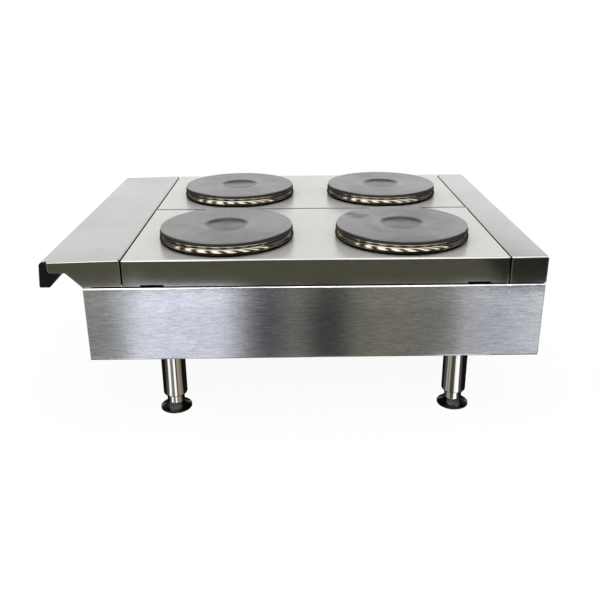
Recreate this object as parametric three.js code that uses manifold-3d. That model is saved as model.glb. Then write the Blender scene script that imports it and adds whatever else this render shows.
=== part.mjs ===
// Countertop electric hot plate: a stainless cabinet on four adjustable legs, with a landing ledge
// and control panel at the front, two lift-out deck panels and four round cast-iron plates.
// Units are millimetres. +X is the operator's right, +Y runs from the front to the back, +Z is up.
// The origin is the middle of the footprint, on the surface that the feet stand on.

import * as THREE from 'three';
import { mergeVertices } from 'three/addons/utils/BufferGeometryUtils.js';
import Module from 'manifold-3d';

const wasm = await Module();
wasm.setup();

// ---- Driving dimensions --------------------------------------------------------------------

const SHEET = 1.5; // gauge of the stainless sheet
const FIT = 0.3; // clearance between pieces that touch
const WIDTH = 610; // overall, side to side
const LEG_HEIGHT = 106; // floor to the underside of the cabinet
const BODY_HEIGHT = 124.5; // cabinet sides
const TIER_HEIGHT = 45.5; // folded edge of the deck, the ledge and the rear strip

const LEDGE_DEPTH = 123.75; // lip face to the back edge of the ledge
const LEDGE_FALL = 3; // how far the ledge slopes down to the front
const SEAM = 2.5; // open seam between ledge, deck and rear strip
const STRIP_DEPTH = 58; // rear strip
const MID_SEAM = 1.5; // seam between the two deck panels
const BODY_SETBACK = 63; // control panel behind the lip face
const BODY_BACK_INSET = 0.5;

const LIP_HEIGHT = 41; // pull lip along the ledge's front
const LIP_LEAN = 3.5; // foot of the lip stands this far forward of its top
const LIP_FOOT = 16.3; // flat underneath the lip
const LIP_RETURN = 32; // where the lip's slanting back ends, behind its face
const LIP_RADIUS = 6;
const CAP_THICKNESS = 4; // moulded cap at each end of the lip
const NOSE_SETBACK = 12; // end plate of the ledge starts behind the lip face
const NOSE_HEIGHT = 17.5;
const NOSE_RADIUS = 7;
const NOSE_LENGTH = 26.5; // flat underside of the nose, before it slopes down to the cabinet

const PLATE_RADIUS = 110; // cast-iron plate
const PLATE_RISE = 23; // top of the iron above the deck
const PLATE_RIM = 5.1; // depth of the iron's rim, above the spill ring
const PLATE_SKIRT_INSET = 10; // the iron's skirt inside its rim
const PLATE_SKIRT_WALL = 6;
const PLATE_BELOW = 8; // the iron's skirt reaches below the deck
const PLATE_WEB = 8; // iron left under the rim, over the heating coil
const DISH_RADIUS = 36.5; // shallow unheated recess in the middle
const DISH_DEPTH = 2.2;
const STUD_RADIUS = 4;
const STUD_LENGTH = 24; // below the deck
const RING_PROUD = 2.5; // spill ring's widest line outside the iron
const RING_BULGE = 8; // height of that line above the deck
const PLATE_END = 41.4; // spill ring to the front and back edges of the deck panel
const PLATE_EDGE = 6; // spill ring to the right edge of the deck panel
const PLATE_GAP = 70; // between the two rings on one panel
const SLOT_INSET = 27; // vent notch from each end of the deck panel
const SLOT_LENGTH = 36.5;
const SLOT_HEIGHT = 4.5;

const CLAMP_WIDTH = 24;
const CLAMP_SHEET = 3;
const CLAMP_OVERLAP = 14; // how far the clamp bar's ends lap under the deck
const CLAMP_DROP = 14; // the clamp bar's middle below the deck's underside
const TERMINAL = { width: 40, depth: 20, height: 13 };

const SIDE_TOP_FLANGE = 15;
const SIDE_BOTTOM_FLANGE = 12;
const PANEL_FLANGE = 14; // top and bottom folds of the control and rear panels
const RAIL_WIDTH = 40;
const RAIL_HEIGHT = 25;
const SHIELD_EDGE = 10;
const SHIELD_SHEET = 1;
const SHIELD_MARGIN = 16; // heat shield clear of the cabinet's flanges and rail
const SHIELD_REACH = 20; // heat shield past the rings, front and back

const KNOB_PITCH = 120;
const KNOB_HEIGHT = 62; // knob centres above the cabinet's underside
const KNOB_RADIUS = 22;
const KNOB_SKIRT = 6;
const KNOB_GRIP_RADIUS = 16.5;
const KNOB_LENGTH = 26;
const KNOB_STANDOFF = 1.2;
const SHAFT_RADIUS = 3;
const SHAFT_OUT = 16; // shaft in front of the panel
const SHAFT_IN = 14; // shaft behind the panel's face
const SWITCH = { width: 42, height: 42, depth: 34 };
const LAMP_RADIUS = 7;
const LAMP_STEM_RADIUS = 5.5;

const LEG_INSET_X = 35; // leg centres from the cabinet's sides
const LEG_INSET_Y = 126; // leg centres from the cabinet's front and back
const LEG_RADIUS = 20;
const LEG_STUD_RADIUS = 5;
const LEG_PLATE_SIZE = 56;
const LEG_PLATE_THICKNESS = 3;
const TUBE_BOTTOM = 26; // end of the leg tube above the floor, foot screwed right in
const TUBE_ROUND = 5;
const NECK_RADIUS = 14.5;
const FOOT_RADIUS = 26.6;
const FOOT_FLARE = 14; // height of the flared foot
const FOOT_EDGE = 3.2;
const FOOT_ENGAGED = 48; // neck held inside the leg tube

const GLAND_RADIUS = 12;
const GLAND_INSET_X = 105; // from the left side
const GLAND_INSET_Y = 62; // from the back
const VENT_LENGTH = 70;
const VENT_WIDTH = 5;
const VENT_PITCH = 14;
const VENT_COUNT = 6;

const PLATE_SEGMENTS = 28; // facets round the plates and rings
const LEG_SEGMENTS = 18; // facets round the legs, feet and gland

// ---- Places worked out from them -----------------------------------------------------------

const ringRadius = PLATE_RADIUS + RING_PROUD;
const panelDepth = 2 * PLATE_END + 4 * ringRadius + PLATE_GAP;
const panelWidth = (WIDTH - MID_SEAM) / 2;
const overallDepth = LIP_LEAN + LEDGE_DEPTH + SEAM + panelDepth + SEAM + STRIP_DEPTH;
const halfWidth = WIDTH / 2;

const lipFaceY = -overallDepth / 2 + LIP_LEAN;
const ledgeBackY = lipFaceY + LEDGE_DEPTH;
const deckFrontY = ledgeBackY + SEAM;
const deckBackY = deckFrontY + panelDepth;
const stripFrontY = deckBackY + SEAM;
const backY = stripFrontY + STRIP_DEPTH;
const bodyFrontY = lipFaceY + BODY_SETBACK;
const bodyBackY = backY - BODY_BACK_INSET;

const bodyTopZ = LEG_HEIGHT + BODY_HEIGHT;
const tierBottomZ = bodyTopZ + FIT;
const deckZ = bodyTopZ + TIER_HEIGHT;
const lipTopZ = deckZ - LEDGE_FALL;
const innerX = halfWidth - SHEET - FIT; // room between the cabinet's sides
const baseZ = LEG_HEIGHT + SHEET + FIT; // underside of the base panel, above the folds

const holeRadius = PLATE_RADIUS - PLATE_SKIRT_INSET + 1;
const plateX = panelWidth / 2 - PLATE_EDGE - ringRadius; // from the middle of its panel
const plateY = PLATE_GAP / 2 + ringRadius;
const deckMidY = (deckFrontY + deckBackY) / 2;
const legX = halfWidth - LEG_INSET_X;
const legFrontY = bodyFrontY + LEG_INSET_Y;
const legBackY = bodyBackY - LEG_INSET_Y;
const glandX = -halfWidth + GLAND_INSET_X;
const glandY = bodyBackY - GLAND_INSET_Y;
const knobZ = LEG_HEIGHT + KNOB_HEIGHT;

// ---- Materials -----------------------------------------------------------------------------

const finish = (color, roughness, metalness) => () =>
  new THREE.MeshStandardMaterial({ color, roughness, metalness });
const brushedSteel = finish(0xbfc0bc, 0.34, 1);
const polishedSteel = finish(0xd8d4c8, 0.12, 1);
const castIron = finish(0x6f7072, 0.55, 0.6);
const chrome = finish(0xc9c6bc, 0.1, 1);
const darkChrome = finish(0x3a3a38, 0.16, 1);
const blackPlastic = finish(0x121212, 0.45, 0);
const zincSteel = finish(0x9aa0a3, 0.4, 1);
const ceramic = finish(0xe9e4d6, 0.5, 0);
const amberLens = finish(0xd9822b, 0.2, 0);

// ---- Helpers -------------------------------------------------------------------------------

const hotPlate = new THREE.Group();

function add(name, geometry, material, x = 0, y = 0, z = 0) {
  const mesh = new THREE.Mesh(geometry, material());
  mesh.name = name;
  mesh.position.set(x, y, z);
  hotPlate.add(mesh);
  return mesh;
}

function box(x0, x1, y0, y1, z0, z1) {
  const geometry = new THREE.BoxGeometry(x1 - x0, y1 - y0, z1 - z0);
  return geometry.translate((x0 + x1) / 2, (y0 + y1) / 2, (z0 + z1) / 2);
}

// Turns a closed geometry into a solid that can be joined and cut.
function solid(geometry) {
  const bare = geometry.clone();
  bare.deleteAttribute('normal');
  bare.deleteAttribute('uv');
  const merged = mergeVertices(bare, 1e-4);
  const vertProperties = new Float32Array(merged.attributes.position.array);
  const triVerts = new Uint32Array(merged.index.array);
  return new wasm.Manifold(new wasm.Mesh({ numProp: 3, vertProperties, triVerts }));
}

function geometryOf(manifold) {
  const mesh = manifold.getMesh();
  const geometry = new THREE.BufferGeometry();
  geometry.setAttribute('position', new THREE.BufferAttribute(mesh.vertProperties, 3));
  geometry.setIndex(new THREE.BufferAttribute(mesh.triVerts, 1));
  geometry.computeVertexNormals();
  return geometry;
}

// The body geometry joined with each added geometry, less each cut geometry.
function shaped(body, cuts, joins = []) {
  let result = solid(body);
  for (const join of joins) {
    result = result.add(solid(join));
  }
  for (const cut of cuts) {
    result = result.subtract(solid(cut));
  }
  return geometryOf(result);
}

function shapeOf(points) {
  return new THREE.Shape(points.map(([a, b]) => new THREE.Vector2(a, b)));
}

// A section drawn in Y and Z, carried along X.
function alongX(points, x0, x1) {
  const geometry = new THREE.ExtrudeGeometry(shapeOf(points), { depth: x1 - x0, bevelEnabled: false });
  const axes = new THREE.Matrix4().makeBasis(
    new THREE.Vector3(0, 1, 0),
    new THREE.Vector3(0, 0, 1),
    new THREE.Vector3(1, 0, 0),
  );
  return geometry.applyMatrix4(axes).translate(x0, 0, 0);
}

// A section drawn in X and Z, carried along Y.
function alongY(points, y0, y1) {
  const geometry = new THREE.ExtrudeGeometry(shapeOf(points), { depth: y1 - y0, bevelEnabled: false });
  return geometry.rotateX(Math.PI / 2).translate(0, y1, 0);
}

// A profile of radius and height, turned about the Z axis.
function turned(profile, segments) {
  const points = profile.map(([radius, height]) => new THREE.Vector2(radius, height));
  return new THREE.LatheGeometry(points, segments).rotateX(Math.PI / 2);
}

function cylinderZ(radius, x, y, z0, z1, segments = 32) {
  const geometry = new THREE.CylinderGeometry(radius, radius, z1 - z0, segments);
  return geometry.rotateX(Math.PI / 2).translate(x, y, (z0 + z1) / 2);
}

function cylinderY(radius, x, z, y0, y1, segments = 16) {
  const geometry = new THREE.CylinderGeometry(radius, radius, y1 - y0, segments);
  return geometry.translate(x, (y0 + y1) / 2, z);
}

// Points of an arc about a centre, from one angle to another in degrees.
function arc(cx, cy, radius, from, to, steps) {
  return Array.from({ length: steps + 1 }, (_, i) => {
    const angle = THREE.MathUtils.degToRad(from + ((to - from) * i) / steps);
    return [cx + radius * Math.cos(angle), cy + radius * Math.sin(angle)];
  });
}

// The closed section of a folded sheet: its outer line, and that line moved inwards by the gauge.
function folded(outer, gauge) {
  const inner = outer.map((point, i) => {
    const before = outer[Math.max(i - 1, 0)];
    const after = outer[Math.min(i + 1, outer.length - 1)];
    const incoming = new THREE.Vector2(point[0] - before[0], point[1] - before[1]).normalize();
    const outgoing = new THREE.Vector2(after[0] - point[0], after[1] - point[1]).normalize();
    const tangent = incoming.clone().add(outgoing).normalize();
    const straight = incoming.length() > 0 ? incoming : outgoing;
    const reach = gauge / Math.max(tangent.dot(straight), 0.2);
    return [point[0] - tangent.y * reach, point[1] + tangent.x * reach];
  });
  return [...outer, ...inner.reverse()];
}

// ---- Cabinet -------------------------------------------------------------------------------

// Side sheet with its top and bottom edges folded inwards, drawn for the right-hand side.
function sidePanel(sign) {
  const outer = halfWidth;
  const section = [
    [outer, LEG_HEIGHT],
    [outer, bodyTopZ],
    [outer - SIDE_TOP_FLANGE, bodyTopZ],
    [outer - SIDE_TOP_FLANGE, bodyTopZ - SHEET],
    [outer - SHEET, bodyTopZ - SHEET],
    [outer - SHEET, LEG_HEIGHT + SHEET],
    [outer - SIDE_BOTTOM_FLANGE, LEG_HEIGHT + SHEET],
    [outer - SIDE_BOTTOM_FLANGE, LEG_HEIGHT],
  ].map(([x, z]) => [sign * x, z]);
  return alongY(section, bodyFrontY, bodyBackY);
}

// Front or rear sheet between the sides, with its edges folded towards the middle of the cabinet.
function crossPanel(faceY, inward) {
  const section = [
    [0, LEG_HEIGHT],
    [0, bodyTopZ],
    [PANEL_FLANGE, bodyTopZ],
    [PANEL_FLANGE, bodyTopZ - SHEET],
    [SHEET, bodyTopZ - SHEET],
    [SHEET, LEG_HEIGHT + SHEET],
    [PANEL_FLANGE, LEG_HEIGHT + SHEET],
    [PANEL_FLANGE, LEG_HEIGHT],
  ].map(([depth, z]) => [faceY + inward * depth, z]);
  const flangeEnd = halfWidth - SIDE_TOP_FLANGE - FIT;
  const sheetHeight = [LEG_HEIGHT + SHEET + FIT, bodyTopZ - SHEET - FIT];
  const sheetY = [faceY, faceY + inward * SHEET].sort((a, b) => a - b);
  const fullWidth = box(-innerX, innerX, ...sheetY, ...sheetHeight);
  return [alongX(section, -flangeEnd, flangeEnd), fullWidth];
}

const knobXs = [-1.5, -0.5, 0.5, 1.5].map((step) => step * KNOB_PITCH);
const shaftHole = SHAFT_RADIUS + 2;

function controlPanel() {
  const [folds, sheet] = crossPanel(bodyFrontY, 1);
  const cutY = [bodyFrontY - SHEET, bodyFrontY + 2 * SHEET];
  const holes = knobXs.map((x) => cylinderY(shaftHole, x, knobZ, ...cutY));
  const lampHole = cylinderY(LAMP_STEM_RADIUS + FIT, 0, knobZ, ...cutY);
  return shaped(folds, [...holes, lampHole], [sheet]);
}

// Two banks of upright vents let the heat out of the back.
function rearPanel() {
  const [folds, sheet] = crossPanel(bodyBackY, -1);
  const vents = [];
  for (const side of [-1, 1]) {
    for (let i = 0; i < VENT_COUNT; i += 1) {
      const x = side * (WIDTH / 4) + (i - (VENT_COUNT - 1) / 2) * VENT_PITCH;
      const middle = LEG_HEIGHT + BODY_HEIGHT / 2;
      const reach = BODY_HEIGHT / 2 - PANEL_FLANGE - SHEET;
      const y0 = bodyBackY - 2 * SHEET;
      const y1 = bodyBackY + SHEET;
      vents.push(box(x - VENT_WIDTH / 2, x + VENT_WIDTH / 2, y0, y1, middle - reach, middle + reach));
    }
  }
  return shaped(folds, vents, [sheet]);
}

function basePanel() {
  const y0 = bodyFrontY + SHEET + FIT;
  const y1 = bodyBackY - SHEET - FIT;
  const cutZ = [baseZ - SHEET, baseZ + 2 * SHEET];
  const cuts = [cylinderZ(GLAND_RADIUS + FIT, glandX, glandY, ...cutZ, 16)];
  for (const x of [-legX, legX]) {
    for (const y of [legFrontY, legBackY]) {
      cuts.push(cylinderZ(LEG_STUD_RADIUS + FIT, x, y, ...cutZ, 12));
    }
  }
  for (let i = 0; i < VENT_COUNT; i += 1) {
    const y = (i - (VENT_COUNT - 1) / 2) * VENT_PITCH;
    for (const x of [-WIDTH / 4, WIDTH / 4]) {
      const half = [VENT_LENGTH / 2, VENT_WIDTH / 2];
      cuts.push(box(x - half[0], x + half[0], y - half[1], y + half[1], ...cutZ));
    }
  }
  return shaped(box(-innerX, innerX, y0, y1, baseZ, baseZ + SHEET), cuts);
}

// Inverted channel under the seam between the two deck panels.
function centreRail() {
  const half = RAIL_WIDTH / 2;
  const section = folded(
    [
      [half, bodyTopZ - RAIL_HEIGHT],
      [half, bodyTopZ],
      [-half, bodyTopZ],
      [-half, bodyTopZ - RAIL_HEIGHT],
    ],
    SHEET,
  );
  return alongY(section, bodyFrontY + PANEL_FLANGE + FIT, bodyBackY - PANEL_FLANGE - FIT);
}

add('side_panel_right', sidePanel(1), brushedSteel);
add('side_panel_left', sidePanel(-1), brushedSteel);
add('control_panel', controlPanel(), brushedSteel);
add('rear_panel', rearPanel(), brushedSteel);
add('base_panel', basePanel(), zincSteel);
add('centre_rail', centreRail(), zincSteel);

// ---- Landing ledge and rear strip ----------------------------------------------------------

// The ledge is drawn from the lip face, so a section point is [distance behind it, height].
const ledgeHeightAt = (s) => lipTopZ + (LEDGE_FALL * s) / LEDGE_DEPTH;
const lipFootZ = lipTopZ - LIP_HEIGHT;
const noseFloorZ = lipTopZ - NOSE_HEIGHT;
const noseEnd = NOSE_SETBACK + NOSE_LENGTH;
const fromLip = ([s, z]) => [lipFaceY + s, z];
const lipCorner = () =>
  arc(LIP_RADIUS, lipTopZ - LIP_RADIUS, LIP_RADIUS, 90, 180, 4);

// Top, rounded front, pull lip and back fold in one sheet.
function ledgeSection() {
  return folded(
    [
      [LEDGE_DEPTH, tierBottomZ],
      [LEDGE_DEPTH, deckZ],
      ...lipCorner(),
      [-LIP_LEAN, lipFootZ],
      [LIP_FOOT - LIP_LEAN, lipFootZ],
      [LIP_RETURN, noseFloorZ],
    ].map(fromLip),
    SHEET,
  );
}

// Outline of the plate that closes each end of the ledge, with a rounded nose at the front.
function ledgeEndOutline() {
  return [
    [LEDGE_DEPTH, tierBottomZ],
    [LEDGE_DEPTH, deckZ],
    [NOSE_SETBACK, ledgeHeightAt(NOSE_SETBACK)],
    ...arc(NOSE_SETBACK + NOSE_RADIUS, noseFloorZ + NOSE_RADIUS, NOSE_RADIUS, 180, 270, 4),
    [noseEnd, noseFloorZ],
    [BODY_SETBACK, tierBottomZ],
  ].map(fromLip);
}

function ledgeTopEdge() {
  return [
    [LEDGE_DEPTH, deckZ],
    [NOSE_SETBACK, ledgeHeightAt(NOSE_SETBACK)],
    [NOSE_SETBACK, ledgeHeightAt(NOSE_SETBACK) - SHEET],
    [LEDGE_DEPTH, deckZ - SHEET],
  ].map(fromLip);
}

const lipEndX = halfWidth - SHEET - CAP_THICKNESS - 2 * FIT; // the lip stops inside its caps

function landingLedge() {
  const joins = [
    alongX(ledgeTopEdge(), -halfWidth, halfWidth),
    alongX(ledgeEndOutline(), halfWidth - SHEET, halfWidth),
    alongX(ledgeEndOutline(), -halfWidth, SHEET - halfWidth),
  ];
  return shaped(alongX(ledgeSection(), -lipEndX, lipEndX), [], joins);
}

// Moulded cap that plugs each end of the lip, inside the end plate.
function ledgeCap() {
  const top = NOSE_SETBACK - FIT;
  const under = (s) => ledgeHeightAt(s) - SHEET - FIT;
  const outline = [
    [-LIP_LEAN, lipFootZ],
    [LIP_FOOT - LIP_LEAN, lipFootZ],
    [LIP_RETURN, noseFloorZ],
    [LIP_RETURN, under(LIP_RETURN)],
    [top, under(top)],
    [top, ledgeHeightAt(top)],
    ...lipCorner(),
  ].map(fromLip);
  return alongX(outline, -CAP_THICKNESS / 2, CAP_THICKNESS / 2);
}

// Closes the underside of the ledge, from the lip back to the control panel.
function ledgeUndertray() {
  const start = LIP_RETURN + 2 * SHEET;
  const section = folded(
    [
      [start, noseFloorZ],
      [noseEnd, noseFloorZ],
      [BODY_SETBACK, tierBottomZ],
      [BODY_SETBACK + PANEL_FLANGE, tierBottomZ],
    ].map(fromLip),
    SHEET,
  );
  return alongX(section, -innerX, innerX);
}

function rearStrip() {
  const outer = box(-halfWidth, halfWidth, stripFrontY, backY, tierBottomZ, deckZ);
  const inside = halfWidth - SHEET;
  const hollow = box(-inside, inside, stripFrontY + SHEET, backY - SHEET, 0, deckZ - SHEET);
  return shaped(outer, [hollow]);
}

const capX = halfWidth - SHEET - FIT - CAP_THICKNESS / 2;
add('landing_ledge', landingLedge(), brushedSteel);
add('ledge_undertray', ledgeUndertray(), brushedSteel);
add('ledge_cap_right', ledgeCap(), blackPlastic, capX);
add('ledge_cap_left', ledgeCap(), blackPlastic, -capX);
add('rear_strip', rearStrip(), brushedSteel);

// ---- Deck panels ---------------------------------------------------------------------------

// Folded pan, open underneath, drawn about the middle of its own top. Both panels are the same
// pressing, so their plates stand towards the same side.
function deckPanel() {
  const x = panelWidth / 2;
  const y = panelDepth / 2;
  const bottom = tierBottomZ - deckZ;
  const cuts = [box(SHEET - x, x - SHEET, SHEET - y, y - SHEET, bottom - 1, -SHEET)];
  for (const end of [-1, 1]) {
    cuts.push(cylinderZ(holeRadius, plateX, end * plateY, -2 * SHEET, SHEET));
    const slotMiddle = end * (y - SLOT_INSET - SLOT_LENGTH / 2);
    const slotY = [slotMiddle - SLOT_LENGTH / 2, slotMiddle + SLOT_LENGTH / 2];
    cuts.push(box(-x - 1, x + 1, ...slotY, bottom - 1, bottom + SLOT_HEIGHT));
  }
  return shaped(box(-x, x, -y, y, bottom, 0), cuts);
}

const panelX = (panelWidth + MID_SEAM) / 2;
add('deck_panel_right', deckPanel(), brushedSteel, panelX, deckMidY, deckZ);
add('deck_panel_left', deckPanel(), brushedSteel, -panelX, deckMidY, deckZ);

// Shallow tray under each pair of plates, hung between the centre rail and the side's fold.
function heatShield() {
  const x0 = RAIL_WIDTH / 2 + FIT;
  const x1 = halfWidth - SIDE_TOP_FLANGE - SHIELD_MARGIN / 2;
  const y = plateY + ringRadius + SHIELD_REACH;
  const z0 = bodyTopZ - SHIELD_EDGE;
  const hollow = box(
    x0 + SHIELD_SHEET, x1 - SHIELD_SHEET, SHIELD_SHEET - y, y - SHIELD_SHEET,
    z0 + SHIELD_SHEET, bodyTopZ + 1,
  );
  return shaped(box(x0, x1, -y, y, z0, bodyTopZ), [hollow]);
}

add('heat_shield_right', heatShield(), zincSteel, 0, deckMidY);
const leftShield = add('heat_shield_left', heatShield(), zincSteel, 0, deckMidY);
leftShield.rotation.z = Math.PI;

// ---- Plates --------------------------------------------------------------------------------

// Heights below are from the deck's top face, radii from the middle of the plate.
const rimBottom = PLATE_RISE - PLATE_RIM;
const ringTop = rimBottom - FIT;

function ironPlate() {
  const skirt = PLATE_RADIUS - PLATE_SKIRT_INSET;
  const web = rimBottom - PLATE_WEB;
  return turned(
    [
      [0, -STUD_LENGTH],
      [STUD_RADIUS, -STUD_LENGTH],
      [STUD_RADIUS, web],
      [skirt - PLATE_SKIRT_WALL, web],
      [skirt - PLATE_SKIRT_WALL, -PLATE_BELOW],
      [skirt, -PLATE_BELOW],
      [skirt, rimBottom],
      [PLATE_RADIUS, rimBottom],
      [PLATE_RADIUS, PLATE_RISE - 1],
      [PLATE_RADIUS - 1, PLATE_RISE],
      [DISH_RADIUS, PLATE_RISE],
      [DISH_RADIUS - 4, PLATE_RISE - DISH_DEPTH],
      [0, PLATE_RISE - DISH_DEPTH],
    ],
    PLATE_SEGMENTS,
  );
}

// Thin polished ring that carries the rim of the iron and keeps spills out of the deck.
function spillRing() {
  const inner = PLATE_RADIUS - PLATE_SKIRT_INSET + 2 * FIT;
  const outer = ringRadius;
  return turned(
    [
      [inner, ringTop],
      [inner, ringTop - 1],
      [outer - 2.3, ringTop - 1],
      [outer - 1, RING_BULGE],
      [outer - 5, FIT + 0.5],
      [outer - 4, FIT],
      [outer - 1.2, RING_BULGE / 2],
      [outer, RING_BULGE],
      [outer - 1.3, ringTop],
      [inner, ringTop],
    ],
    PLATE_SEGMENTS,
  );
}

// Hat-shaped bar that pulls the iron down on its ring, with its ends under the deck.
function clampBar() {
  const end = holeRadius + CLAMP_OVERLAP;
  const step = holeRadius + 1;
  const top = -SHEET - FIT;
  const section = folded(
    [
      [end, top],
      [step, top],
      [step, top - CLAMP_DROP],
      [-step, top - CLAMP_DROP],
      [-step, top],
      [-end, top],
    ],
    CLAMP_SHEET,
  );
  const hole = cylinderZ(STUD_RADIUS + FIT, 0, 0, -STUD_LENGTH - CLAMP_DROP, 0, 12);
  return shaped(alongY(section, -CLAMP_WIDTH / 2, CLAMP_WIDTH / 2), [hole]);
}

// Ceramic block that takes the coil's wires, under the iron behind the clamp bar.
function plateTerminal() {
  const x = TERMINAL.width / 2;
  const y0 = CLAMP_WIDTH / 2 + 4;
  const z1 = rimBottom - PLATE_WEB - FIT;
  const screws = [-1, 0, 1].map((i) =>
    cylinderZ(3, (i * TERMINAL.width) / 3.4, y0 + TERMINAL.depth / 2, z1 - TERMINAL.height - 1,
      z1 - TERMINAL.height + 5, 8));
  return shaped(box(-x, x, y0, y0 + TERMINAL.depth, z1 - TERMINAL.height, z1), screws);
}

const plates = [
  { name: 'front_right', x: panelX + plateX, y: deckMidY - plateY },
  { name: 'back_right', x: panelX + plateX, y: deckMidY + plateY },
  { name: 'front_left', x: plateX - panelX, y: deckMidY - plateY },
  { name: 'back_left', x: plateX - panelX, y: deckMidY + plateY },
];
for (const { name, x, y } of plates) {
  add(`iron_plate_${name}`, ironPlate(), castIron, x, y, deckZ);
  add(`spill_ring_${name}`, spillRing(), polishedSteel, x, y, deckZ);
  add(`clamp_bar_${name}`, clampBar(), zincSteel, x, y, deckZ);
  add(`plate_terminal_${name}`, plateTerminal(), ceramic, x, y, deckZ);
}

// ---- Controls ------------------------------------------------------------------------------

// Each control is drawn along Z, out of the panel's face, with its pointer towards +Y, and is
// then laid over so that it faces the operator with the pointer up.
function knob() {
  const top = KNOB_STANDOFF + KNOB_LENGTH;
  const skirtTop = KNOB_STANDOFF + KNOB_SKIRT;
  const body = turned(
    [
      [0, KNOB_STANDOFF],
      [KNOB_RADIUS, KNOB_STANDOFF],
      [KNOB_RADIUS - 1.5, skirtTop],
      [KNOB_GRIP_RADIUS, skirtTop + 1],
      [KNOB_GRIP_RADIUS - 1, top - 1.5],
      [KNOB_GRIP_RADIUS - 2.5, top],
      [0, top],
    ],
    20,
  );
  const pointer = box(-1.5, 1.5, KNOB_GRIP_RADIUS - 4, KNOB_GRIP_RADIUS + 1.5, skirtTop - 1, top - 3);
  const bore = cylinderZ(SHAFT_RADIUS + FIT, 0, 0, 0, SHAFT_OUT + FIT, 12);
  return shaped(body, [bore], [pointer]);
}

function switchShaft() {
  return cylinderZ(SHAFT_RADIUS, 0, 0, -SHAFT_IN, SHAFT_OUT, 12);
}

function heatSwitch() {
  const front = -SHEET - FIT;
  const x = SWITCH.width / 2;
  const y = SWITCH.height / 2;
  const bore = cylinderZ(SHAFT_RADIUS + FIT, 0, 0, -SHAFT_IN - FIT, 1, 12);
  return shaped(box(-x, x, -y, y, front - SWITCH.depth, front), [bore]);
}

function indicatorLamp() {
  return turned(
    [
      [0, -22],
      [LAMP_STEM_RADIUS, -22],
      [LAMP_STEM_RADIUS, FIT],
      [LAMP_RADIUS, FIT],
      [LAMP_RADIUS, 2],
      [LAMP_RADIUS - 2, 4],
      [0, 5],
    ],
    16,
  );
}

const places = ['1', '2', '3', '4'];
for (const [i, x] of knobXs.entries()) {
  for (const [name, geometry, material] of [
    ['knob', knob(), blackPlastic],
    ['switch_shaft', switchShaft(), zincSteel],
    ['heat_switch', heatSwitch(), ceramic],
  ]) {
    const mesh = add(`${name}_${places[i]}`, geometry, material, x, bodyFrontY, knobZ);
    mesh.rotation.x = Math.PI / 2;
  }
}
const lamp = add('indicator_lamp', indicatorLamp(), amberLens, 0, bodyFrontY, knobZ);
lamp.rotation.x = Math.PI / 2;

// ---- Legs and feet -------------------------------------------------------------------------

// Chrome tube with a rounded end, bored for the foot's neck, and a stud up through the base.
function leg() {
  const bore = NECK_RADIUS + FIT;
  const boreTop = TUBE_BOTTOM + FOOT_ENGAGED + 4;
  const top = baseZ - FIT;
  const studTop = baseZ + SHEET + FIT + LEG_PLATE_THICKNESS + 6;
  return turned(
    [
      [0, boreTop],
      [bore, boreTop],
      [bore, TUBE_BOTTOM],
      ...arc(LEG_RADIUS - TUBE_ROUND, TUBE_BOTTOM + TUBE_ROUND, TUBE_ROUND, -90, 0, 2),
      [LEG_RADIUS, top],
      [LEG_STUD_RADIUS, top],
      [LEG_STUD_RADIUS, studTop],
      [0, studTop],
    ],
    LEG_SEGMENTS,
  );
}

function foot() {
  return turned(
    [
      [0, 0],
      [FOOT_RADIUS - 2, 0],
      [FOOT_RADIUS, 1.4],
      [FOOT_RADIUS, FOOT_EDGE],
      [FOOT_RADIUS - 6, FOOT_EDGE + (FOOT_FLARE - FOOT_EDGE) / 2],
      [NECK_RADIUS, FOOT_FLARE],
      [NECK_RADIUS, TUBE_BOTTOM + FOOT_ENGAGED],
      [0, TUBE_BOTTOM + FOOT_ENGAGED],
    ],
    LEG_SEGMENTS,
  );
}

function legPlate() {
  const half = LEG_PLATE_SIZE / 2;
  const z0 = baseZ + SHEET + FIT;
  const z1 = z0 + LEG_PLATE_THICKNESS;
  const hole = cylinderZ(LEG_STUD_RADIUS + FIT, 0, 0, z0 - 1, z1 + 1, 12);
  return shaped(box(-half, half, -half, half, z0, z1), [hole]);
}

const corners = [
  { name: 'front_right', x: legX, y: legFrontY },
  { name: 'front_left', x: -legX, y: legFrontY },
  { name: 'back_right', x: legX, y: legBackY },
  { name: 'back_left', x: -legX, y: legBackY },
];
for (const { name, x, y } of corners) {
  add(`leg_${name}`, leg(), chrome, x, y);
  add(`foot_${name}`, foot(), darkChrome, x, y);
  add(`leg_plate_${name}`, legPlate(), zincSteel, x, y);
}

// ---- Supply --------------------------------------------------------------------------------

// Gland through the base, where the supply lead enters.
function cableGland() {
  const flange = GLAND_RADIUS + 5;
  const bore = 6;
  const under = baseZ - FIT;
  const top = baseZ + SHEET + 8;
  return turned(
    [
      [bore, under - 20],
      [GLAND_RADIUS - 2, under - 20],
      [GLAND_RADIUS + 1, under - 14],
      [GLAND_RADIUS + 1, under - 5],
      [flange, under - 5],
      [flange, under],
      [GLAND_RADIUS, under],
      [GLAND_RADIUS, top],
      [bore, top],
      [bore, under - 20],
    ],
    LEG_SEGMENTS,
  );
}

// Block inside the back of the base where the lead's cores are clamped.
function mainsTerminalBlock() {
  const z0 = baseZ + SHEET + FIT;
  const body = box(-32, 32, -11, 11, z0, z0 + 20);
  const screws = [-2, -1, 0, 1, 2].map((i) => cylinderZ(3.5, i * 12, 0, z0 + 14, z0 + 21, 10));
  return shaped(body, screws);
}

add('cable_gland', cableGland(), blackPlastic, glandX, glandY);
add('mains_terminal_block', mainsTerminalBlock(), ceramic, glandX + 80, glandY);

export default hotPlate;
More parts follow.
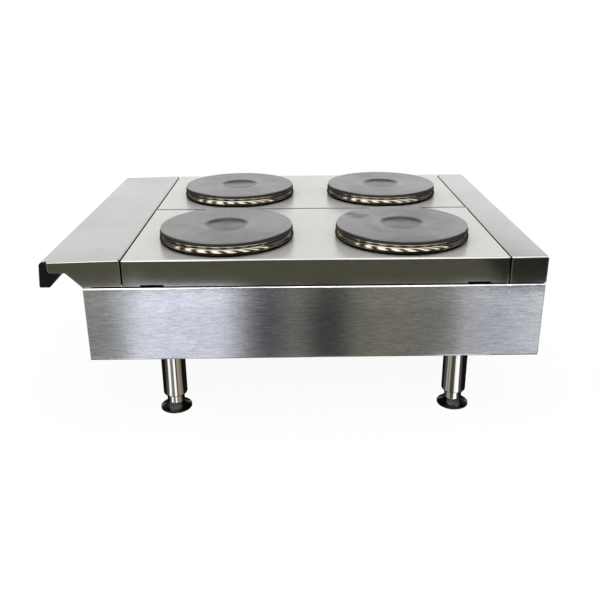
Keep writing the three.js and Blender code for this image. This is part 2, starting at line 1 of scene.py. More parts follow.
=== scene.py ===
# %% [markdown]
# # Countertop electric hot plate
# A stainless cabinet on four legs carries two folded deck panels with four round cast-iron plates.
# A landing ledge with a pull lip overhangs the controls at the front, and a folded strip closes the
# back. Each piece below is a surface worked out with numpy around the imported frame, so its place
# always comes from the frame and never from a typed coordinate.

# %% Load the frame
import math

import bmesh
import bpy
import numpy as np
from mathutils import Matrix, Vector


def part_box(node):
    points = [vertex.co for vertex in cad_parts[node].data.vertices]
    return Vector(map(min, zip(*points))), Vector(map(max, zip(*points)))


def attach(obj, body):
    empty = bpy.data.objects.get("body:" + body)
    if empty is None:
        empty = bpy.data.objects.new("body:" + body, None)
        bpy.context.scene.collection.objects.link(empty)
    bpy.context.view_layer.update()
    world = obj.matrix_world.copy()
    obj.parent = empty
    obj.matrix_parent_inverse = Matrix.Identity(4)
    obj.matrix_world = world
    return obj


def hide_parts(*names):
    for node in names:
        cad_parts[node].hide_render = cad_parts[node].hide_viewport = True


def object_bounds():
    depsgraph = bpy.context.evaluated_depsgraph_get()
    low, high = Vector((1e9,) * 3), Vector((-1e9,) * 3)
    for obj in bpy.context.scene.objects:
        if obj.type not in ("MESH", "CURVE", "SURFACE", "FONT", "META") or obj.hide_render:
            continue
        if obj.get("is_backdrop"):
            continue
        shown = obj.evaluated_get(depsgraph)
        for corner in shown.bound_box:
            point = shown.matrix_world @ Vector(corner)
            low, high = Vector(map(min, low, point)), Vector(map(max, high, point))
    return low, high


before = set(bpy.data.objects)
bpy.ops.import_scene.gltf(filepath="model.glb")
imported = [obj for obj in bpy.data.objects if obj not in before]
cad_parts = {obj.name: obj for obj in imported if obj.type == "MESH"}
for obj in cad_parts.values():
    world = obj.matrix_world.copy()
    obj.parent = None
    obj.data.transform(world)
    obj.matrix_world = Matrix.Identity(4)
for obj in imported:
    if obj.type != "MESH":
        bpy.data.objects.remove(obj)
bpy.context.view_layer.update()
scene = bpy.context.scene
MM = 0.001

# %% [markdown]
# ## Places
# The frame gives every node's lowest and highest corner. A few shared heights and edges are named
# here once: the deck's top, the fold's lower edge, the floor of the cabinet and its sides.

# %% Places taken from the frame


def span(node):
    """Lowest and highest corner of a CAD node, as two arrays in metres."""
    low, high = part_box(node)
    return np.array(low), np.array(high)


def middle(node):
    """Centre of a CAD node's box."""
    low, high = span(node)
    return (low + high) / 2


deck_low, deck_high = span("deck_panel_right")
DECK_TOP = deck_high[2]
TIER_BOTTOM = deck_low[2]
side_low, side_high = span("side_panel_right")
HALF_WIDTH = side_high[0]
CABINET_BOTTOM, CABINET_TOP = side_low[2], side_high[2]
CABINET_FRONT, CABINET_BACK = side_low[1], side_high[1]
REVEAL = 1.8 * MM
CORNERS = ("front_right", "back_right", "front_left", "back_left")
SHEET = 1.5 * MM
print("deck top", round(DECK_TOP, 4), "cabinet", round(CABINET_BOTTOM, 4), round(CABINET_TOP, 4))

# %% [markdown]
# ## Camera
# The hot plate is seen from its right-hand side, from a little above, with the ledge at the left
# of the frame. The small lens shift keeps the upright edges as they stand.

# %% Camera
CAMERA_PLACE = Vector((1.3311, 0.0030, 0.6248))
CAMERA_YAW = math.radians(1.03)
CAMERA_PITCH = math.radians(20.10)
CAMERA_ROLL = math.radians(-0.25)
CAMERA_LENS_MM = 42.17
CAMERA_SHIFT = (-0.0133, -0.0417)

forward = Vector((
    -math.cos(CAMERA_PITCH) * math.cos(CAMERA_YAW),
    math.cos(CAMERA_PITCH) * math.sin(CAMERA_YAW),
    -math.sin(CAMERA_PITCH),
))
level_right = forward.cross(Vector((0, 0, 1))).normalized()
level_up = level_right.cross(forward)
right = math.cos(CAMERA_ROLL) * level_right + math.sin(CAMERA_ROLL) * level_up
up = math.cos(CAMERA_ROLL) * level_up - math.sin(CAMERA_ROLL) * level_right

camera_data = bpy.data.cameras.new("camera")
camera_data.lens = CAMERA_LENS_MM
camera_data.shift_x, camera_data.shift_y = CAMERA_SHIFT
camera = bpy.data.objects.new("camera", camera_data)
camera.matrix_world = Matrix.Translation(CAMERA_PLACE) @ Matrix((right, up, -forward)).transposed().to_4x4()
scene.collection.objects.link(camera)
scene.camera = camera
scene.view_settings.view_transform = "Standard"
print("camera at", tuple(round(v, 3) for v in CAMERA_PLACE))

# %% [markdown]
# ## Node helpers
# A material is a small graph. These helpers add a node, set its plain values and join its inputs
# in one line, so that each finish below reads like a recipe.

# %% Node helpers


def add_node(tree, kind, values=None, links=None, **settings):
    """Adds a node, sets its properties and input values, and links its inputs to other outputs."""
    node = tree.nodes.new(kind)
    for key, value in settings.items():
        setattr(node, key, value)
    for key, value in (values or {}).items():
        node.inputs[key].default_value = value
    for key, output in (links or {}).items():
        tree.links.new(output, node.inputs[key])
    return node


def new_group(name, inputs, outputs):
    """A shader node group with the named sockets. Returns the group, its input and its output node."""
    group = bpy.data.node_groups.new(name, "ShaderNodeTree")
    for socket, kind, default in inputs:
        made = group.interface.new_socket(socket, in_out="INPUT", socket_type=kind)
        if default is not None:
            made.default_value = default
    for socket, kind in outputs:
        group.interface.new_socket(socket, in_out="OUTPUT", socket_type=kind)
    return group, group.nodes.new("NodeGroupInput"), group.nodes.new("NodeGroupOutput")


print("node helpers:", add_node.__name__, new_group.__name__)

# %% A group in a material, and a colour ramp


def use_group(tree, group, values=None, links=None):
    """Places a node group in a material."""
    node = add_node(tree, "ShaderNodeGroup", node_tree=group)
    for key, value in (values or {}).items():
        node.inputs[key].default_value = value
    for key, output in (links or {}).items():
        tree.links.new(output, node.inputs[key])
    return node


def ramp(tree, source, stops):
    """A colour ramp from (position, grey or colour) stops."""
    node = add_node(tree, "ShaderNodeValToRGB", links={"Fac": source})
    elements = node.color_ramp.elements
    while len(elements) < len(stops):
        elements.new(0.5)
    for element, (position, value) in zip(elements, stops):
        element.position = position
        colour = (value,) * 3 if isinstance(value, (int, float)) else value
        element.color = (*colour, 1.0)
    return node


print("ready:", use_group.__name__, ramp.__name__)

# %% Blending values and colours


def remap(tree, source, low, high):
    """Maps 0..1 to low..high."""
    node = add_node(tree, "ShaderNodeMapRange", {"To Min": low, "To Max": high})
    tree.links.new(source, node.inputs["Value"])
    return node.outputs["Result"]


def mix_colour(tree, factor, first, second):
    """Blends two colours, or a colour and an output, by a mask."""
    node = add_node(tree, "ShaderNodeMix", data_type="RGBA")
    tree.links.new(factor, node.inputs["Factor"])
    for key, value in (("A", first), ("B", second)):
        socket = next(s for s in node.inputs if s.name == key and s.type == "RGBA")
        if isinstance(value, tuple):
            socket.default_value = (*value, 1.0)
        else:
            tree.links.new(value, socket)
    return next(s for s in node.outputs if s.type == "RGBA")


print("ready:", remap.__name__, mix_colour.__name__)

# %% Arithmetic and an empty material


def math_node(tree, operation, first, second=None):
    """One arithmetic node. Each operand is an output or a plain number."""
    node = add_node(tree, "ShaderNodeMath", operation=operation)
    for index, value in enumerate((first, second)):
        if value is None:
            continue
        if isinstance(value, (int, float)):
            node.inputs[index].default_value = value
        else:
            tree.links.new(value, node.inputs[index])
    return node.outputs[0]


def between(tree, value, start, end):
    """0 before start, 1 after end, and a smooth step in between."""
    node = add_node(tree, "ShaderNodeMapRange", {"From Min": start, "From Max": end}, {"Value": value},
                    interpolation_type="SMOOTHSTEP")
    return node.outputs["Result"]


def new_material(name, **plain):
    """An empty material with a Principled BSDF. Plain values go straight on its sockets."""
    material = bpy.data.materials.new(name)
    material.use_nodes = True
    tree = material.node_tree
    shader = tree.nodes["Principled BSDF"]
    for key, value in plain.items():
        shader.inputs[key.replace("_", " ")].default_value = value
    return material, tree, shader


print("ready:", math_node.__name__, between.__name__, new_material.__name__)

# %% [markdown]
# ## Shared effects
# Brushed sheet has long fine scratches in one direction. A noise stretched hard along that
# direction gives them, twice, at two widths. Handled metal carries faint wipe marks, which are
# clouds of slightly duller metal. Turned iron and spun rings carry circles about their own centre.

# %% Group: brushed lines


def build_brushed_lines():
    """Lines is noise on the point times Stretch, at two widths; the point is in metres."""
    group, given, out = new_group(
        "brushed lines",
        [("Vector", "NodeSocketVector", None), ("Stretch", "NodeSocketVector", (1.0, 1.0, 1.0))],
        [("Lines", "NodeSocketFloat"), ("Fine", "NodeSocketFloat")],
    )
    scaled = add_node(group, "ShaderNodeVectorMath", operation="MULTIPLY",
                      links={0: given.outputs["Vector"], 1: given.outputs["Stretch"]})
    wide = add_node(group, "ShaderNodeTexNoise", {"Scale": 1.0, "Detail": 3.0, "Roughness": 0.65},
                    {"Vector": scaled.outputs[0]})
    narrow = add_node(group, "ShaderNodeTexNoise", {"Scale": 3.7, "Detail": 2.0, "Roughness": 0.7},
                      {"Vector": scaled.outputs[0]})
    both = add_node(group, "ShaderNodeMath", operation="ADD",
                    links={0: wide.outputs["Fac"], 1: narrow.outputs["Fac"]})
    half = add_node(group, "ShaderNodeMath", {1: 0.5}, {0: both.outputs[0]}, operation="MULTIPLY")
    group.links.new(half.outputs[0], out.inputs["Lines"])
    group.links.new(narrow.outputs["Fac"], out.inputs["Fine"])
    return group


BRUSHED_LINES = build_brushed_lines()
print(BRUSHED_LINES.name, len(BRUSHED_LINES.nodes), "nodes")

# %% Group: wipe marks


def build_wipe_marks():
    """Mask is cloudy noise pushed through a ramp, so only its higher patches show."""
    group, given, out = new_group(
        "wipe marks",
        [("Vector", "NodeSocketVector", None), ("Scale", "NodeSocketFloat", 6.0)],
        [("Mask", "NodeSocketFloat"), ("Cloud", "NodeSocketFloat")],
    )
    noise = add_node(group, "ShaderNodeTexNoise", {"Detail": 4.0, "Roughness": 0.6, "Distortion": 0.6},
                     {"Vector": given.outputs["Vector"], "Scale": given.outputs["Scale"]})
    patches = ramp(group, noise.outputs["Fac"], [(0.5, 0.0), (0.68, 1.0)])
    group.links.new(patches.outputs["Color"], out.inputs["Mask"])
    group.links.new(noise.outputs["Fac"], out.inputs["Cloud"])
    return group


WIPE_MARKS = build_wipe_marks()
print(WIPE_MARKS.name, len(WIPE_MARKS.nodes), "nodes")

# %% Group: turned marks


def build_turned_marks():
    """Marks is noise that depends only on the distance from the axis, so it draws circles."""
    group, given, out = new_group(
        "turned marks",
        [("From centre", "NodeSocketVector", None), ("Pitch", "NodeSocketFloat", 900.0)],
        [("Marks", "NodeSocketFloat"), ("Radius", "NodeSocketFloat")],
    )
    flat = add_node(group, "ShaderNodeVectorMath", {1: (1.0, 1.0, 0.0)},
                    {0: given.outputs["From centre"]}, operation="MULTIPLY")
    radius = add_node(group, "ShaderNodeVectorMath", operation="LENGTH", links={0: flat.outputs[0]})
    pitch = add_node(group, "ShaderNodeMath", operation="MULTIPLY",
                     links={0: radius.outputs["Value"], 1: given.outputs["Pitch"]})
    noise = add_node(group, "ShaderNodeTexNoise", {"Scale": 1.0, "Detail": 2.0},
                     {"W": pitch.outputs[0]}, noise_dimensions="1D")
    group.links.new(noise.outputs["Fac"], out.inputs["Marks"])
    group.links.new(radius.outputs["Value"], out.inputs["Radius"])
    return group


TURNED_MARKS = build_turned_marks()
print(TURNED_MARKS.name, len(TURNED_MARKS.nodes), "nodes")

# %% [markdown]
# ## Stainless finishes
# All the sheet is the same steel. What differs is the way it was brushed: along the cabinet on its
# sides and deck, and across it on the ledge, the rear strip and the front. The upright skirts of
# the top were rubbed finer, so they show sharper reflections, and their colour is painted darker and
# olive as shade. One recipe makes each finish from its stretch, its roughness and the depth of its lines.

# %% Brushed stainless steel


def brushed_steel(name, stretch, rough, colour, depth=0.04, contrast=0.1, metal=1.0):
    """Brushed steel: the lines vary the colour, the roughness and a fine bump.

    The scratches scatter some light every way, which a metal value a little under one stands for."""
    material, tree, shader = new_material(name, Metallic=metal)
    coords = add_node(tree, "ShaderNodeTexCoord").outputs["Object"]
    lines = use_group(tree, BRUSHED_LINES, {"Stretch": stretch}, {"Vector": coords})
    marks = use_group(tree, WIPE_MARKS, {"Scale": 5.0}, {"Vector": coords})
    tone = ramp(tree, lines.outputs["Lines"], [(0.3, 0.0), (0.7, 1.0)]).outputs["Color"]
    dark = tuple(c * (1 - contrast) for c in colour)
    light = tuple(min(c * (1 + contrast), 1.0) for c in colour)
    brushed = mix_colour(tree, tone, dark, light)
    wiped = mix_colour(tree, remap(tree, marks.outputs["Mask"], 0.0, 0.12), brushed,
                       tuple(c * 0.86 for c in colour))
    tree.links.new(wiped, shader.inputs["Base Color"])
    grain = remap(tree, tone, rough * 0.85, rough * 1.15)
    dull = add_node(tree, "ShaderNodeMath", {1: 0.05}, {0: marks.outputs["Mask"]}, operation="MULTIPLY")
    total = add_node(tree, "ShaderNodeMath", operation="ADD", links={0: grain, 1: dull.outputs[0]})
    tree.links.new(total.outputs[0], shader.inputs["Roughness"])
    bump = add_node(tree, "ShaderNodeBump", {"Strength": depth, "Distance": 0.0004},
                    {"Height": lines.outputs["Lines"]})
    tree.links.new(bump.outputs["Normal"], shader.inputs["Normal"])
    return material


print("recipe:", brushed_steel.__name__)

# %% The five brushed finishes
ALONG_X = (28.0, 600.0, 600.0)
ALONG_Y = (600.0, 28.0, 600.0)
COARSE_X = (45.0, 450.0, 450.0)
COARSE_Y = (450.0, 45.0, 450.0)
STEEL_DECK = (0.615, 0.615, 0.59)
STEEL_LEDGE = (0.515, 0.515, 0.503)
STEEL_SIDE = (0.66, 0.665, 0.67)
# The skirt colour is the sheet steel painted darker and olive: painted shade for the upright faces.
STEEL_SKIRT_SHADED = (0.50, 0.49, 0.45)
STEEL_FRONT = (0.6, 0.602, 0.595)
steel_deck = brushed_steel("deck stainless", ALONG_Y, 0.3, STEEL_DECK, 0.05, 0.035, metal=0.35)
steel_ledge = brushed_steel("ledge stainless", ALONG_X, 0.24, STEEL_LEDGE, 0.05, 0.04, metal=0.8)
# Upright faces: finer rubbing, and a darker olive colour that is painted shade.
steel_skirt_shaded = brushed_steel("shaded skirt stainless", ALONG_Y, 0.08, STEEL_SKIRT_SHADED, 0.03, 0.12)
steel_side = brushed_steel("side stainless", COARSE_Y, 0.11, STEEL_SIDE, 0.13, 0.42)
steel_front = brushed_steel("front stainless", COARSE_X, 0.2, STEEL_FRONT, 0.1, 0.16, metal=0.6)
for finish in (steel_deck, steel_ledge, steel_skirt_shaded, steel_side, steel_front):
    print(finish.name, len(finish.node_tree.nodes), "nodes")

# %% Zinc-plated steel, for the hidden brackets and the base


def zinc_plate():
    """Zinc plating crystallises in small grey and bluish flakes, here the cells of a Voronoi."""
    material, tree, shader = new_material("zinc plated steel", Metallic=1.0)
    coords = add_node(tree, "ShaderNodeTexCoord").outputs["Object"]
    flakes = add_node(tree, "ShaderNodeTexVoronoi", {"Scale": 140.0}, {"Vector": coords})
    level = add_node(tree, "ShaderNodeSeparateColor", links={"Color": flakes.outputs["Color"]})
    colour = mix_colour(tree, level.outputs["Red"], (0.46, 0.48, 0.5), (0.6, 0.62, 0.63))
    tree.links.new(colour, shader.inputs["Base Color"])
    tree.links.new(remap(tree, level.outputs["Green"], 0.3, 0.5), shader.inputs["Roughness"])
    return material


zinc = zinc_plate()
print("made", zinc.name)

# %% [markdown]
# ## Polished and cast finishes
# The legs and feet are chromed tube, and the spill rings are spun from bright stainless. A mirror
# finish needs something to break it up, so each has faint circular or lengthwise polishing lines.
# The foot of each ring is painted near black as shade. The feet are black chrome under a bright neck.
# The plates are fine-turned grey iron with a baked coating, a little worn and smudged from use, and
# one carries a burnt-on spill: an ellipsoid in its own turned coordinates, made ragged by noise.

# %% Polished metals


def polished(name, colour, rough, pitch, worn=0.1, painted_shade=None, edge=(1.0, 1.0, 1.0, 1.0)):
    """Bright metal with circular polishing lines and a thin uneven haze.

    The shade band, given as (lowest height, highest height, colour), is painted shade: that colour at the low
    end fades out upwards.
    edge tints what the metal reflects where it is seen almost edge on."""
    material, tree, shader = new_material(name, Metallic=1.0, Specular_Tint=edge)
    centre = add_node(tree, "ShaderNodeAttribute", attribute_name="from_centre")
    coords = add_node(tree, "ShaderNodeTexCoord").outputs["Object"]
    marks = use_group(tree, TURNED_MARKS, {"Pitch": pitch}, {"From centre": centre.outputs["Vector"]})
    haze = use_group(tree, WIPE_MARKS, {"Scale": 22.0}, {"Vector": coords})
    dimmed = tuple(c * (1 - worn) for c in colour)
    hazed = mix_colour(tree, haze.outputs["Cloud"], colour, dimmed)
    if painted_shade is not None:
        height = add_node(tree, "ShaderNodeSeparateXYZ", links={"Vector": coords}).outputs["Z"]
        rise = add_node(tree, "ShaderNodeMapRange", {"From Min": painted_shade[0], "From Max": painted_shade[1]},
                        {"Value": height}, interpolation_type="SMOOTHSTEP").outputs["Result"]
        hazed = mix_colour(tree, rise, painted_shade[2], hazed)
    tree.links.new(hazed, shader.inputs["Base Color"])
    tree.links.new(remap(tree, haze.outputs["Mask"], rough, rough * 1.8), shader.inputs["Roughness"])
    bump = add_node(tree, "ShaderNodeBump", {"Strength": 0.02, "Distance": 0.0003},
                    {"Height": marks.outputs["Marks"]})
    tree.links.new(bump.outputs["Normal"], shader.inputs["Normal"])
    return material


print("recipe:", polished.__name__)

# %% Rings, legs and feet
# Painted shade: the foot of each ring is painted near black from 5 to 8 mm above the deck.
RING_FOOT_SHADE = (DECK_TOP + 5.0 * MM, DECK_TOP + 8.0 * MM, (0.016, 0.014, 0.01))
bright_ring = polished("polished spill ring", (0.29, 0.265, 0.215), 0.09, 1500.0, painted_shade=RING_FOOT_SHADE,
                       edge=(0.16, 0.15, 0.125, 1.0))
leg_chrome = polished("leg chrome", (0.8, 0.785, 0.74), 0.06, 700.0)
foot_chrome = polished("foot dark chrome", (0.03, 0.029, 0.026), 0.14, 700.0)
for finish in (bright_ring, leg_chrome, foot_chrome):
    print(finish.name, len(finish.node_tree.nodes), "nodes")

# %% Coated cast iron


SPILL_PLACE = tuple(middle("iron_plate_back_right") * np.array([1.0, 1.0, 0.0])
                    + np.array([-48.0, -72.0, 0.0]) * MM)[:2] + (DECK_TOP + 23.0 * MM,)
SPILL_TURN = math.radians(-45.0)
SPILL_SIZE = (30.0 * MM, 60.0 * MM, 60.0 * MM)


def cast_iron():
    """Turned iron: circles about the axis, casting grain, dark smudges, and one burnt-on spill.

    The spill is where the length of the point, in an ellipsoid's own units, plus noise stays small."""
    material, tree, shader = new_material("coated cast iron", Metallic=0.85)
    centre = add_node(tree, "ShaderNodeAttribute", attribute_name="from_centre")
    coords = add_node(tree, "ShaderNodeTexCoord").outputs["Object"]
    marks = use_group(tree, TURNED_MARKS, {"Pitch": 620.0}, {"From centre": centre.outputs["Vector"]})
    smudge = use_group(tree, WIPE_MARKS, {"Scale": 11.0}, {"Vector": coords})
    grain = add_node(tree, "ShaderNodeTexNoise", {"Scale": 900.0, "Detail": 2.0}, {"Vector": coords})
    turned = mix_colour(tree, remap(tree, marks.outputs["Marks"], 0.0, 1.0),
                        (0.195, 0.195, 0.195), (0.25, 0.25, 0.25))
    # Painted shade: inside the dish recess the turned colour is darkened to six tenths.
    dish = ramp(tree, math_node(tree, "MULTIPLY", marks.outputs["Radius"], 10.0), [(0.34, 0.6), (0.39, 1.0)])
    turned_with_dish_shade = add_node(tree, "ShaderNodeVectorMath", operation="MULTIPLY",
                     links={0: turned, 1: dish.outputs["Color"]}).outputs[0]
    worn = mix_colour(tree, remap(tree, smudge.outputs["Mask"], 0.0, 0.45), turned_with_dish_shade, (0.09, 0.09, 0.09))
    near_spill = add_node(tree, "ShaderNodeMapping",
                          {"Location": SPILL_PLACE, "Rotation": (0.0, 0.0, SPILL_TURN), "Scale": SPILL_SIZE},
                          {"Vector": coords}, vector_type="TEXTURE")
    away = add_node(tree, "ShaderNodeVectorMath", operation="LENGTH", links={0: near_spill.outputs[0]})
    spots = add_node(tree, "ShaderNodeTexNoise", {"Scale": 55.0, "Detail": 3.0}, {"Vector": coords})
    blotches = math_node(tree, "MULTIPLY", spots.outputs["Fac"], 1.3)
    ragged = math_node(tree, "ADD", away.outputs["Value"], blotches)
    burnt = mix_colour(tree, between(tree, ragged, 0.85, 1.35), (0.03, 0.03, 0.03), worn)
    tree.links.new(burnt, shader.inputs["Base Color"])
    tree.links.new(remap(tree, smudge.outputs["Cloud"], 0.2, 0.3), shader.inputs["Roughness"])
    fine = add_node(tree, "ShaderNodeBump", {"Strength": 0.12, "Distance": 0.0004},
                    {"Height": grain.outputs["Fac"]})
    rings = add_node(tree, "ShaderNodeBump", {"Strength": 0.6, "Distance": 0.0006},
                     {"Height": marks.outputs["Marks"], "Normal": fine.outputs["Normal"]})
    tree.links.new(rings.outputs["Normal"], shader.inputs["Normal"])
    return material


iron = cast_iron()
print("made", iron.name, len(iron.node_tree.nodes), "nodes")

# %% [markdown]
# ## Moulded and printed finishes
# The caps, knobs and gland are moulded black plastic with a fine spark-eroded grain. The switch
# and terminal bodies are unglazed ceramic, the lamp is an amber lens, and the marks round the
# knobs are white screen print.

# %% Moulded plastic, ceramic, lens and print


def moulded(name, colour, rough, grain=1400.0, depth=0.12, shine=0.5):
    """Moulding with a fine grain in its bump and slow changes in its gloss."""
    material, tree, shader = new_material(name, Specular_IOR_Level=shine)
    coords = add_node(tree, "ShaderNodeTexCoord").outputs["Object"]
    fine = add_node(tree, "ShaderNodeTexNoise", {"Scale": grain, "Detail": 2.0}, {"Vector": coords})
    wear = use_group(tree, WIPE_MARKS, {"Scale": 30.0}, {"Vector": coords})
    lighter = tuple(min(c * 1.35 + 0.003, 1.0) for c in colour)
    tree.links.new(mix_colour(tree, wear.outputs["Cloud"], colour, lighter), shader.inputs["Base Color"])
    tree.links.new(remap(tree, wear.outputs["Cloud"], rough * 0.8, rough * 1.2), shader.inputs["Roughness"])
    bump = add_node(tree, "ShaderNodeBump", {"Strength": depth, "Distance": 0.0002},
                    {"Height": fine.outputs["Fac"]})
    tree.links.new(bump.outputs["Normal"], shader.inputs["Normal"])
    return material


iron_edge = moulded("rough iron edge", (0.016, 0.016, 0.016), 0.55, 900.0, 0.3, 0.3)
black_plastic = moulded("black moulding", (0.003, 0.003, 0.0033), 0.4, shine=0.14)
ceramic = moulded("white ceramic", (0.72, 0.68, 0.58), 0.55, 600.0, 0.25)
white_print = moulded("white print", (0.8, 0.8, 0.78), 0.5, 2500.0, 0.05)
amber = moulded("amber lens", (0.8, 0.26, 0.03), 0.12, 800.0, 0.03)
print("materials", len(bpy.data.materials))

# %% [markdown]
# ## Mesh helpers
# A folded sheet, a slab and a turned piece are all the same thing to numpy: a stack of rings of
# points. Faces join each ring to the next, and the two ends are closed.

# %% Rings of points into a mesh


def loft(rings, closed=False):
    """Quads between neighbouring rings, each of which closes on itself. The ends become one face each."""
    count, around, _ = rings.shape
    i, j = np.meshgrid(np.arange(count if closed else count - 1), np.arange(around), indexing="ij")
    after_i, after_j = (i + 1) % count, (j + 1) % around
    quads = np.stack(
        [i * around + j, i * around + after_j, after_i * around + after_j, after_i * around + j], axis=-1)
    faces = quads.reshape(-1, 4).tolist()
    if not closed:
        faces.append(list(range(around))[::-1])
        faces.append(list(range((count - 1) * around, count * around)))
    return rings.reshape(-1, 3), faces


def joined(*shells):
    """Several (points, faces) shells as one."""
    points, faces, offset = [], [], 0
    for shell_points, shell_faces in shells:
        points.append(shell_points)
        faces += [[index + offset for index in face] for face in shell_faces]
        offset += len(shell_points)
    return np.concatenate(points), faces


print("ready:", loft.__name__, joined.__name__)

# %% [markdown]
# ## From points to a piece
# Doubled points at a pole are merged first, then the faces are turned outwards, and then the piece
# gets its finish and the body it rides on. A turned piece also keeps each point's offset from its
# axis in an attribute, which the circular finishes read.

# %% A piece on its body


def make_piece(name, shell, material, slot, body="cabinet", replaces=(), sharp=35.0, centre=None):
    """Makes the mesh, closes its poles, turns its faces outwards and puts it on its body."""
    points, faces = shell
    mesh = bpy.data.meshes.new(name)
    mesh.from_pydata(points.tolist(), [], faces)
    work = bmesh.new()
    work.from_mesh(mesh)
    bmesh.ops.remove_doubles(work, verts=work.verts, dist=2e-6)
    bmesh.ops.recalc_face_normals(work, faces=work.faces)
    work.to_mesh(mesh)
    work.free()
    mesh.polygons.foreach_set("use_smooth", [True] * len(mesh.polygons))
    mesh.set_sharp_from_angle(angle=math.radians(sharp))
    if centre is not None:
        flat = np.empty(len(mesh.vertices) * 3)
        mesh.vertices.foreach_get("co", flat)
        away = flat.reshape(-1, 3) - np.asarray(centre)
        layer = mesh.attributes.new("from_centre", "FLOAT_VECTOR", "POINT")
        layer.data.foreach_set("vector", away.ravel())
    mesh.materials.append(material)
    made = bpy.data.objects.new(name, mesh)
    scene.collection.objects.link(made)
    if replaces:
        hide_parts(*replaces)
    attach(made, body)
    return made


print("ready:", make_piece.__name__)

# %% A second finish on some faces


def second_finish(made, material, choose):
    """Gives one more material to the faces that choose(normals, centres) picks out."""
    mesh = made.data
    count = len(mesh.polygons)
    normals, centres, index = np.empty(count * 3), np.empty(count * 3), np.empty(count, np.int32)
    mesh.polygons.foreach_get("normal", normals)
    mesh.polygons.foreach_get("center", centres)
    mesh.polygons.foreach_get("material_index", index)
    index[choose(normals.reshape(-1, 3), centres.reshape(-1, 3))] = len(mesh.materials)
    mesh.materials.append(material)
    mesh.polygons.foreach_set("material_index", index)
    mesh.update()
    return made


def upright(normals, centres):
    """The faces that stand upright."""
    return np.abs(normals[:, 2]) < 0.25


print("ready:", second_finish.__name__, upright.__name__)

# %% [markdown]
# ## Folds
# Sheet metal never has a knife edge: it bends round a radius of a millimetre or two, and that bend
# is what catches the light. A corner is therefore an arc. Next to each arc stands one extra point,
# a tenth of a millimetre along the flat, so that the shading of the arc can't creep into the flat.

# %% Rounded outlines
SUPPORT = 0.1 * MM


def left_of(direction):
    """The direction turned a quarter turn anticlockwise."""
    return np.array([-direction[1], direction[0]])


def rounded(points, radii, steps=6, closed=True):
    """A line of points with each corner an arc. Returns the points and their left-hand normals."""
    points = np.asarray(points, float)
    count = len(points)
    out, normals = [], []
    for i, (point, radius) in enumerate(zip(points, radii)):
        before = points[(i - 1) % count]
        after = points[(i + 1) % count]
        into = (point - before) / np.linalg.norm(point - before)
        away = (after - point) / np.linalg.norm(after - point)
        if not closed and i == 0:
            into = away
        if not closed and i == count - 1:
            away = into
        turn = math.atan2(into[0] * away[1] - into[1] * away[0], into @ away)
        if radius <= 0 or abs(turn) < 1e-4:
            bisector = left_of(into) + left_of(away)
            bisector = bisector / np.linalg.norm(bisector)
            out.append(point)
            normals.append(bisector / max(bisector @ left_of(into), 0.3))
            continue
        reach = radius * math.tan(abs(turn) / 2)
        start = point - into * reach
        centre = start + left_of(into) * math.copysign(radius, turn)
        out.append(start - into * SUPPORT)
        normals.append(left_of(into))
        for k in range(steps + 1):
            angle = turn * k / steps
            spin = np.array([[math.cos(angle), -math.sin(angle)], [math.sin(angle), math.cos(angle)]])
            normal = spin @ left_of(into)
            out.append(centre - normal * math.copysign(radius, turn))
            normals.append(normal)
        out.append(point + away * (reach + SUPPORT))
        normals.append(left_of(away))
    return np.array(out), np.array(normals)


def sheet_section(path, radii, gauge=SHEET):
    """Closed section of a folded sheet: the rounded line, and the same line one gauge to its left."""
    outer, normals = rounded(path, radii, closed=False)
    return np.concatenate([outer, (outer + normals * gauge)[::-1]])


square = [(0.0, 0.0), (1.0, 0.0), (1.0, 1.0), (0.0, 1.0)]
print("a square with rounded corners has", len(rounded(square, [0.1] * 4)[0]), "points")

# %% Prisms, slabs and turned pieces


def along(axis, flat, places):
    """Rings of a flat outline at each place along X (outline in Y, Z) or along Y (outline in X, Z)."""
    rings = np.zeros((len(places), len(flat), 3))
    others = (1, 2) if axis == 0 else (0, 2)
    rings[:, :, others[0]] = flat[:, 0]
    rings[:, :, others[1]] = flat[:, 1]
    rings[:, :, axis] = np.asarray(places)[:, None]
    return rings


def prism(axis, section, start, end):
    """A section carried straight from start to end."""
    return loft(along(axis, section, [start, end]))


def slab(axis, outline, normals, inner, outer, edge, steps=5):
    """A plate whose outer face has a rounded rim.

    For an angle a from 0 to 90 degrees, the outline moves inwards by edge*(1 - cos a) while it rises
    by edge*sin a, which is a quarter of a circle."""
    sign = math.copysign(1.0, outer - inner)
    angles = np.linspace(0.0, math.pi / 2, steps + 1)
    inset = np.concatenate([[0.0, 0.0], edge * (1 - np.cos(angles)), [edge + SUPPORT]])
    depth = np.concatenate([[inner, outer - sign * (edge + SUPPORT)],
                            outer - sign * edge * (1 - np.sin(angles)), [outer]])
    rings = [along(axis, outline + normals * amount, [place])[0] for amount, place in zip(inset, depth)]
    return loft(np.array(rings))


def turned(profile, centre, segments=144, axis="Z", closed=False):
    """A profile of (radius, height) carried round an axis through the centre."""
    profile = np.asarray(profile, float)
    angle = np.linspace(0.0, 2 * math.pi, segments, endpoint=False)
    radius, height = profile[:, 0][:, None], profile[:, 1][:, None]
    across, over = radius * np.cos(angle), radius * np.sin(angle)
    rise = np.broadcast_to(height, across.shape)
    if axis == "Z":
        rings = np.stack([across, over, rise], axis=-1)
    else:
        rings = np.stack([across, -rise, over], axis=-1)
    return loft(rings + np.asarray(centre), closed=closed)


print("helpers ready")

# %% [markdown]
# ## Cabinet sides
# Each side is one sheet with its top and bottom edges folded inwards. The top fold is the thin
# bright line under the deck, so it gets the larger radius.

# %% Side panels
SIDE_TOP_FOLD = 3.0 * MM
SIDE_BOTTOM_FOLD = 2.2 * MM
TOP_FLANGE = side_high[0] - side_low[0]
BOTTOM_FLANGE = 12.0 * MM
END_EASE = 1.3 * MM


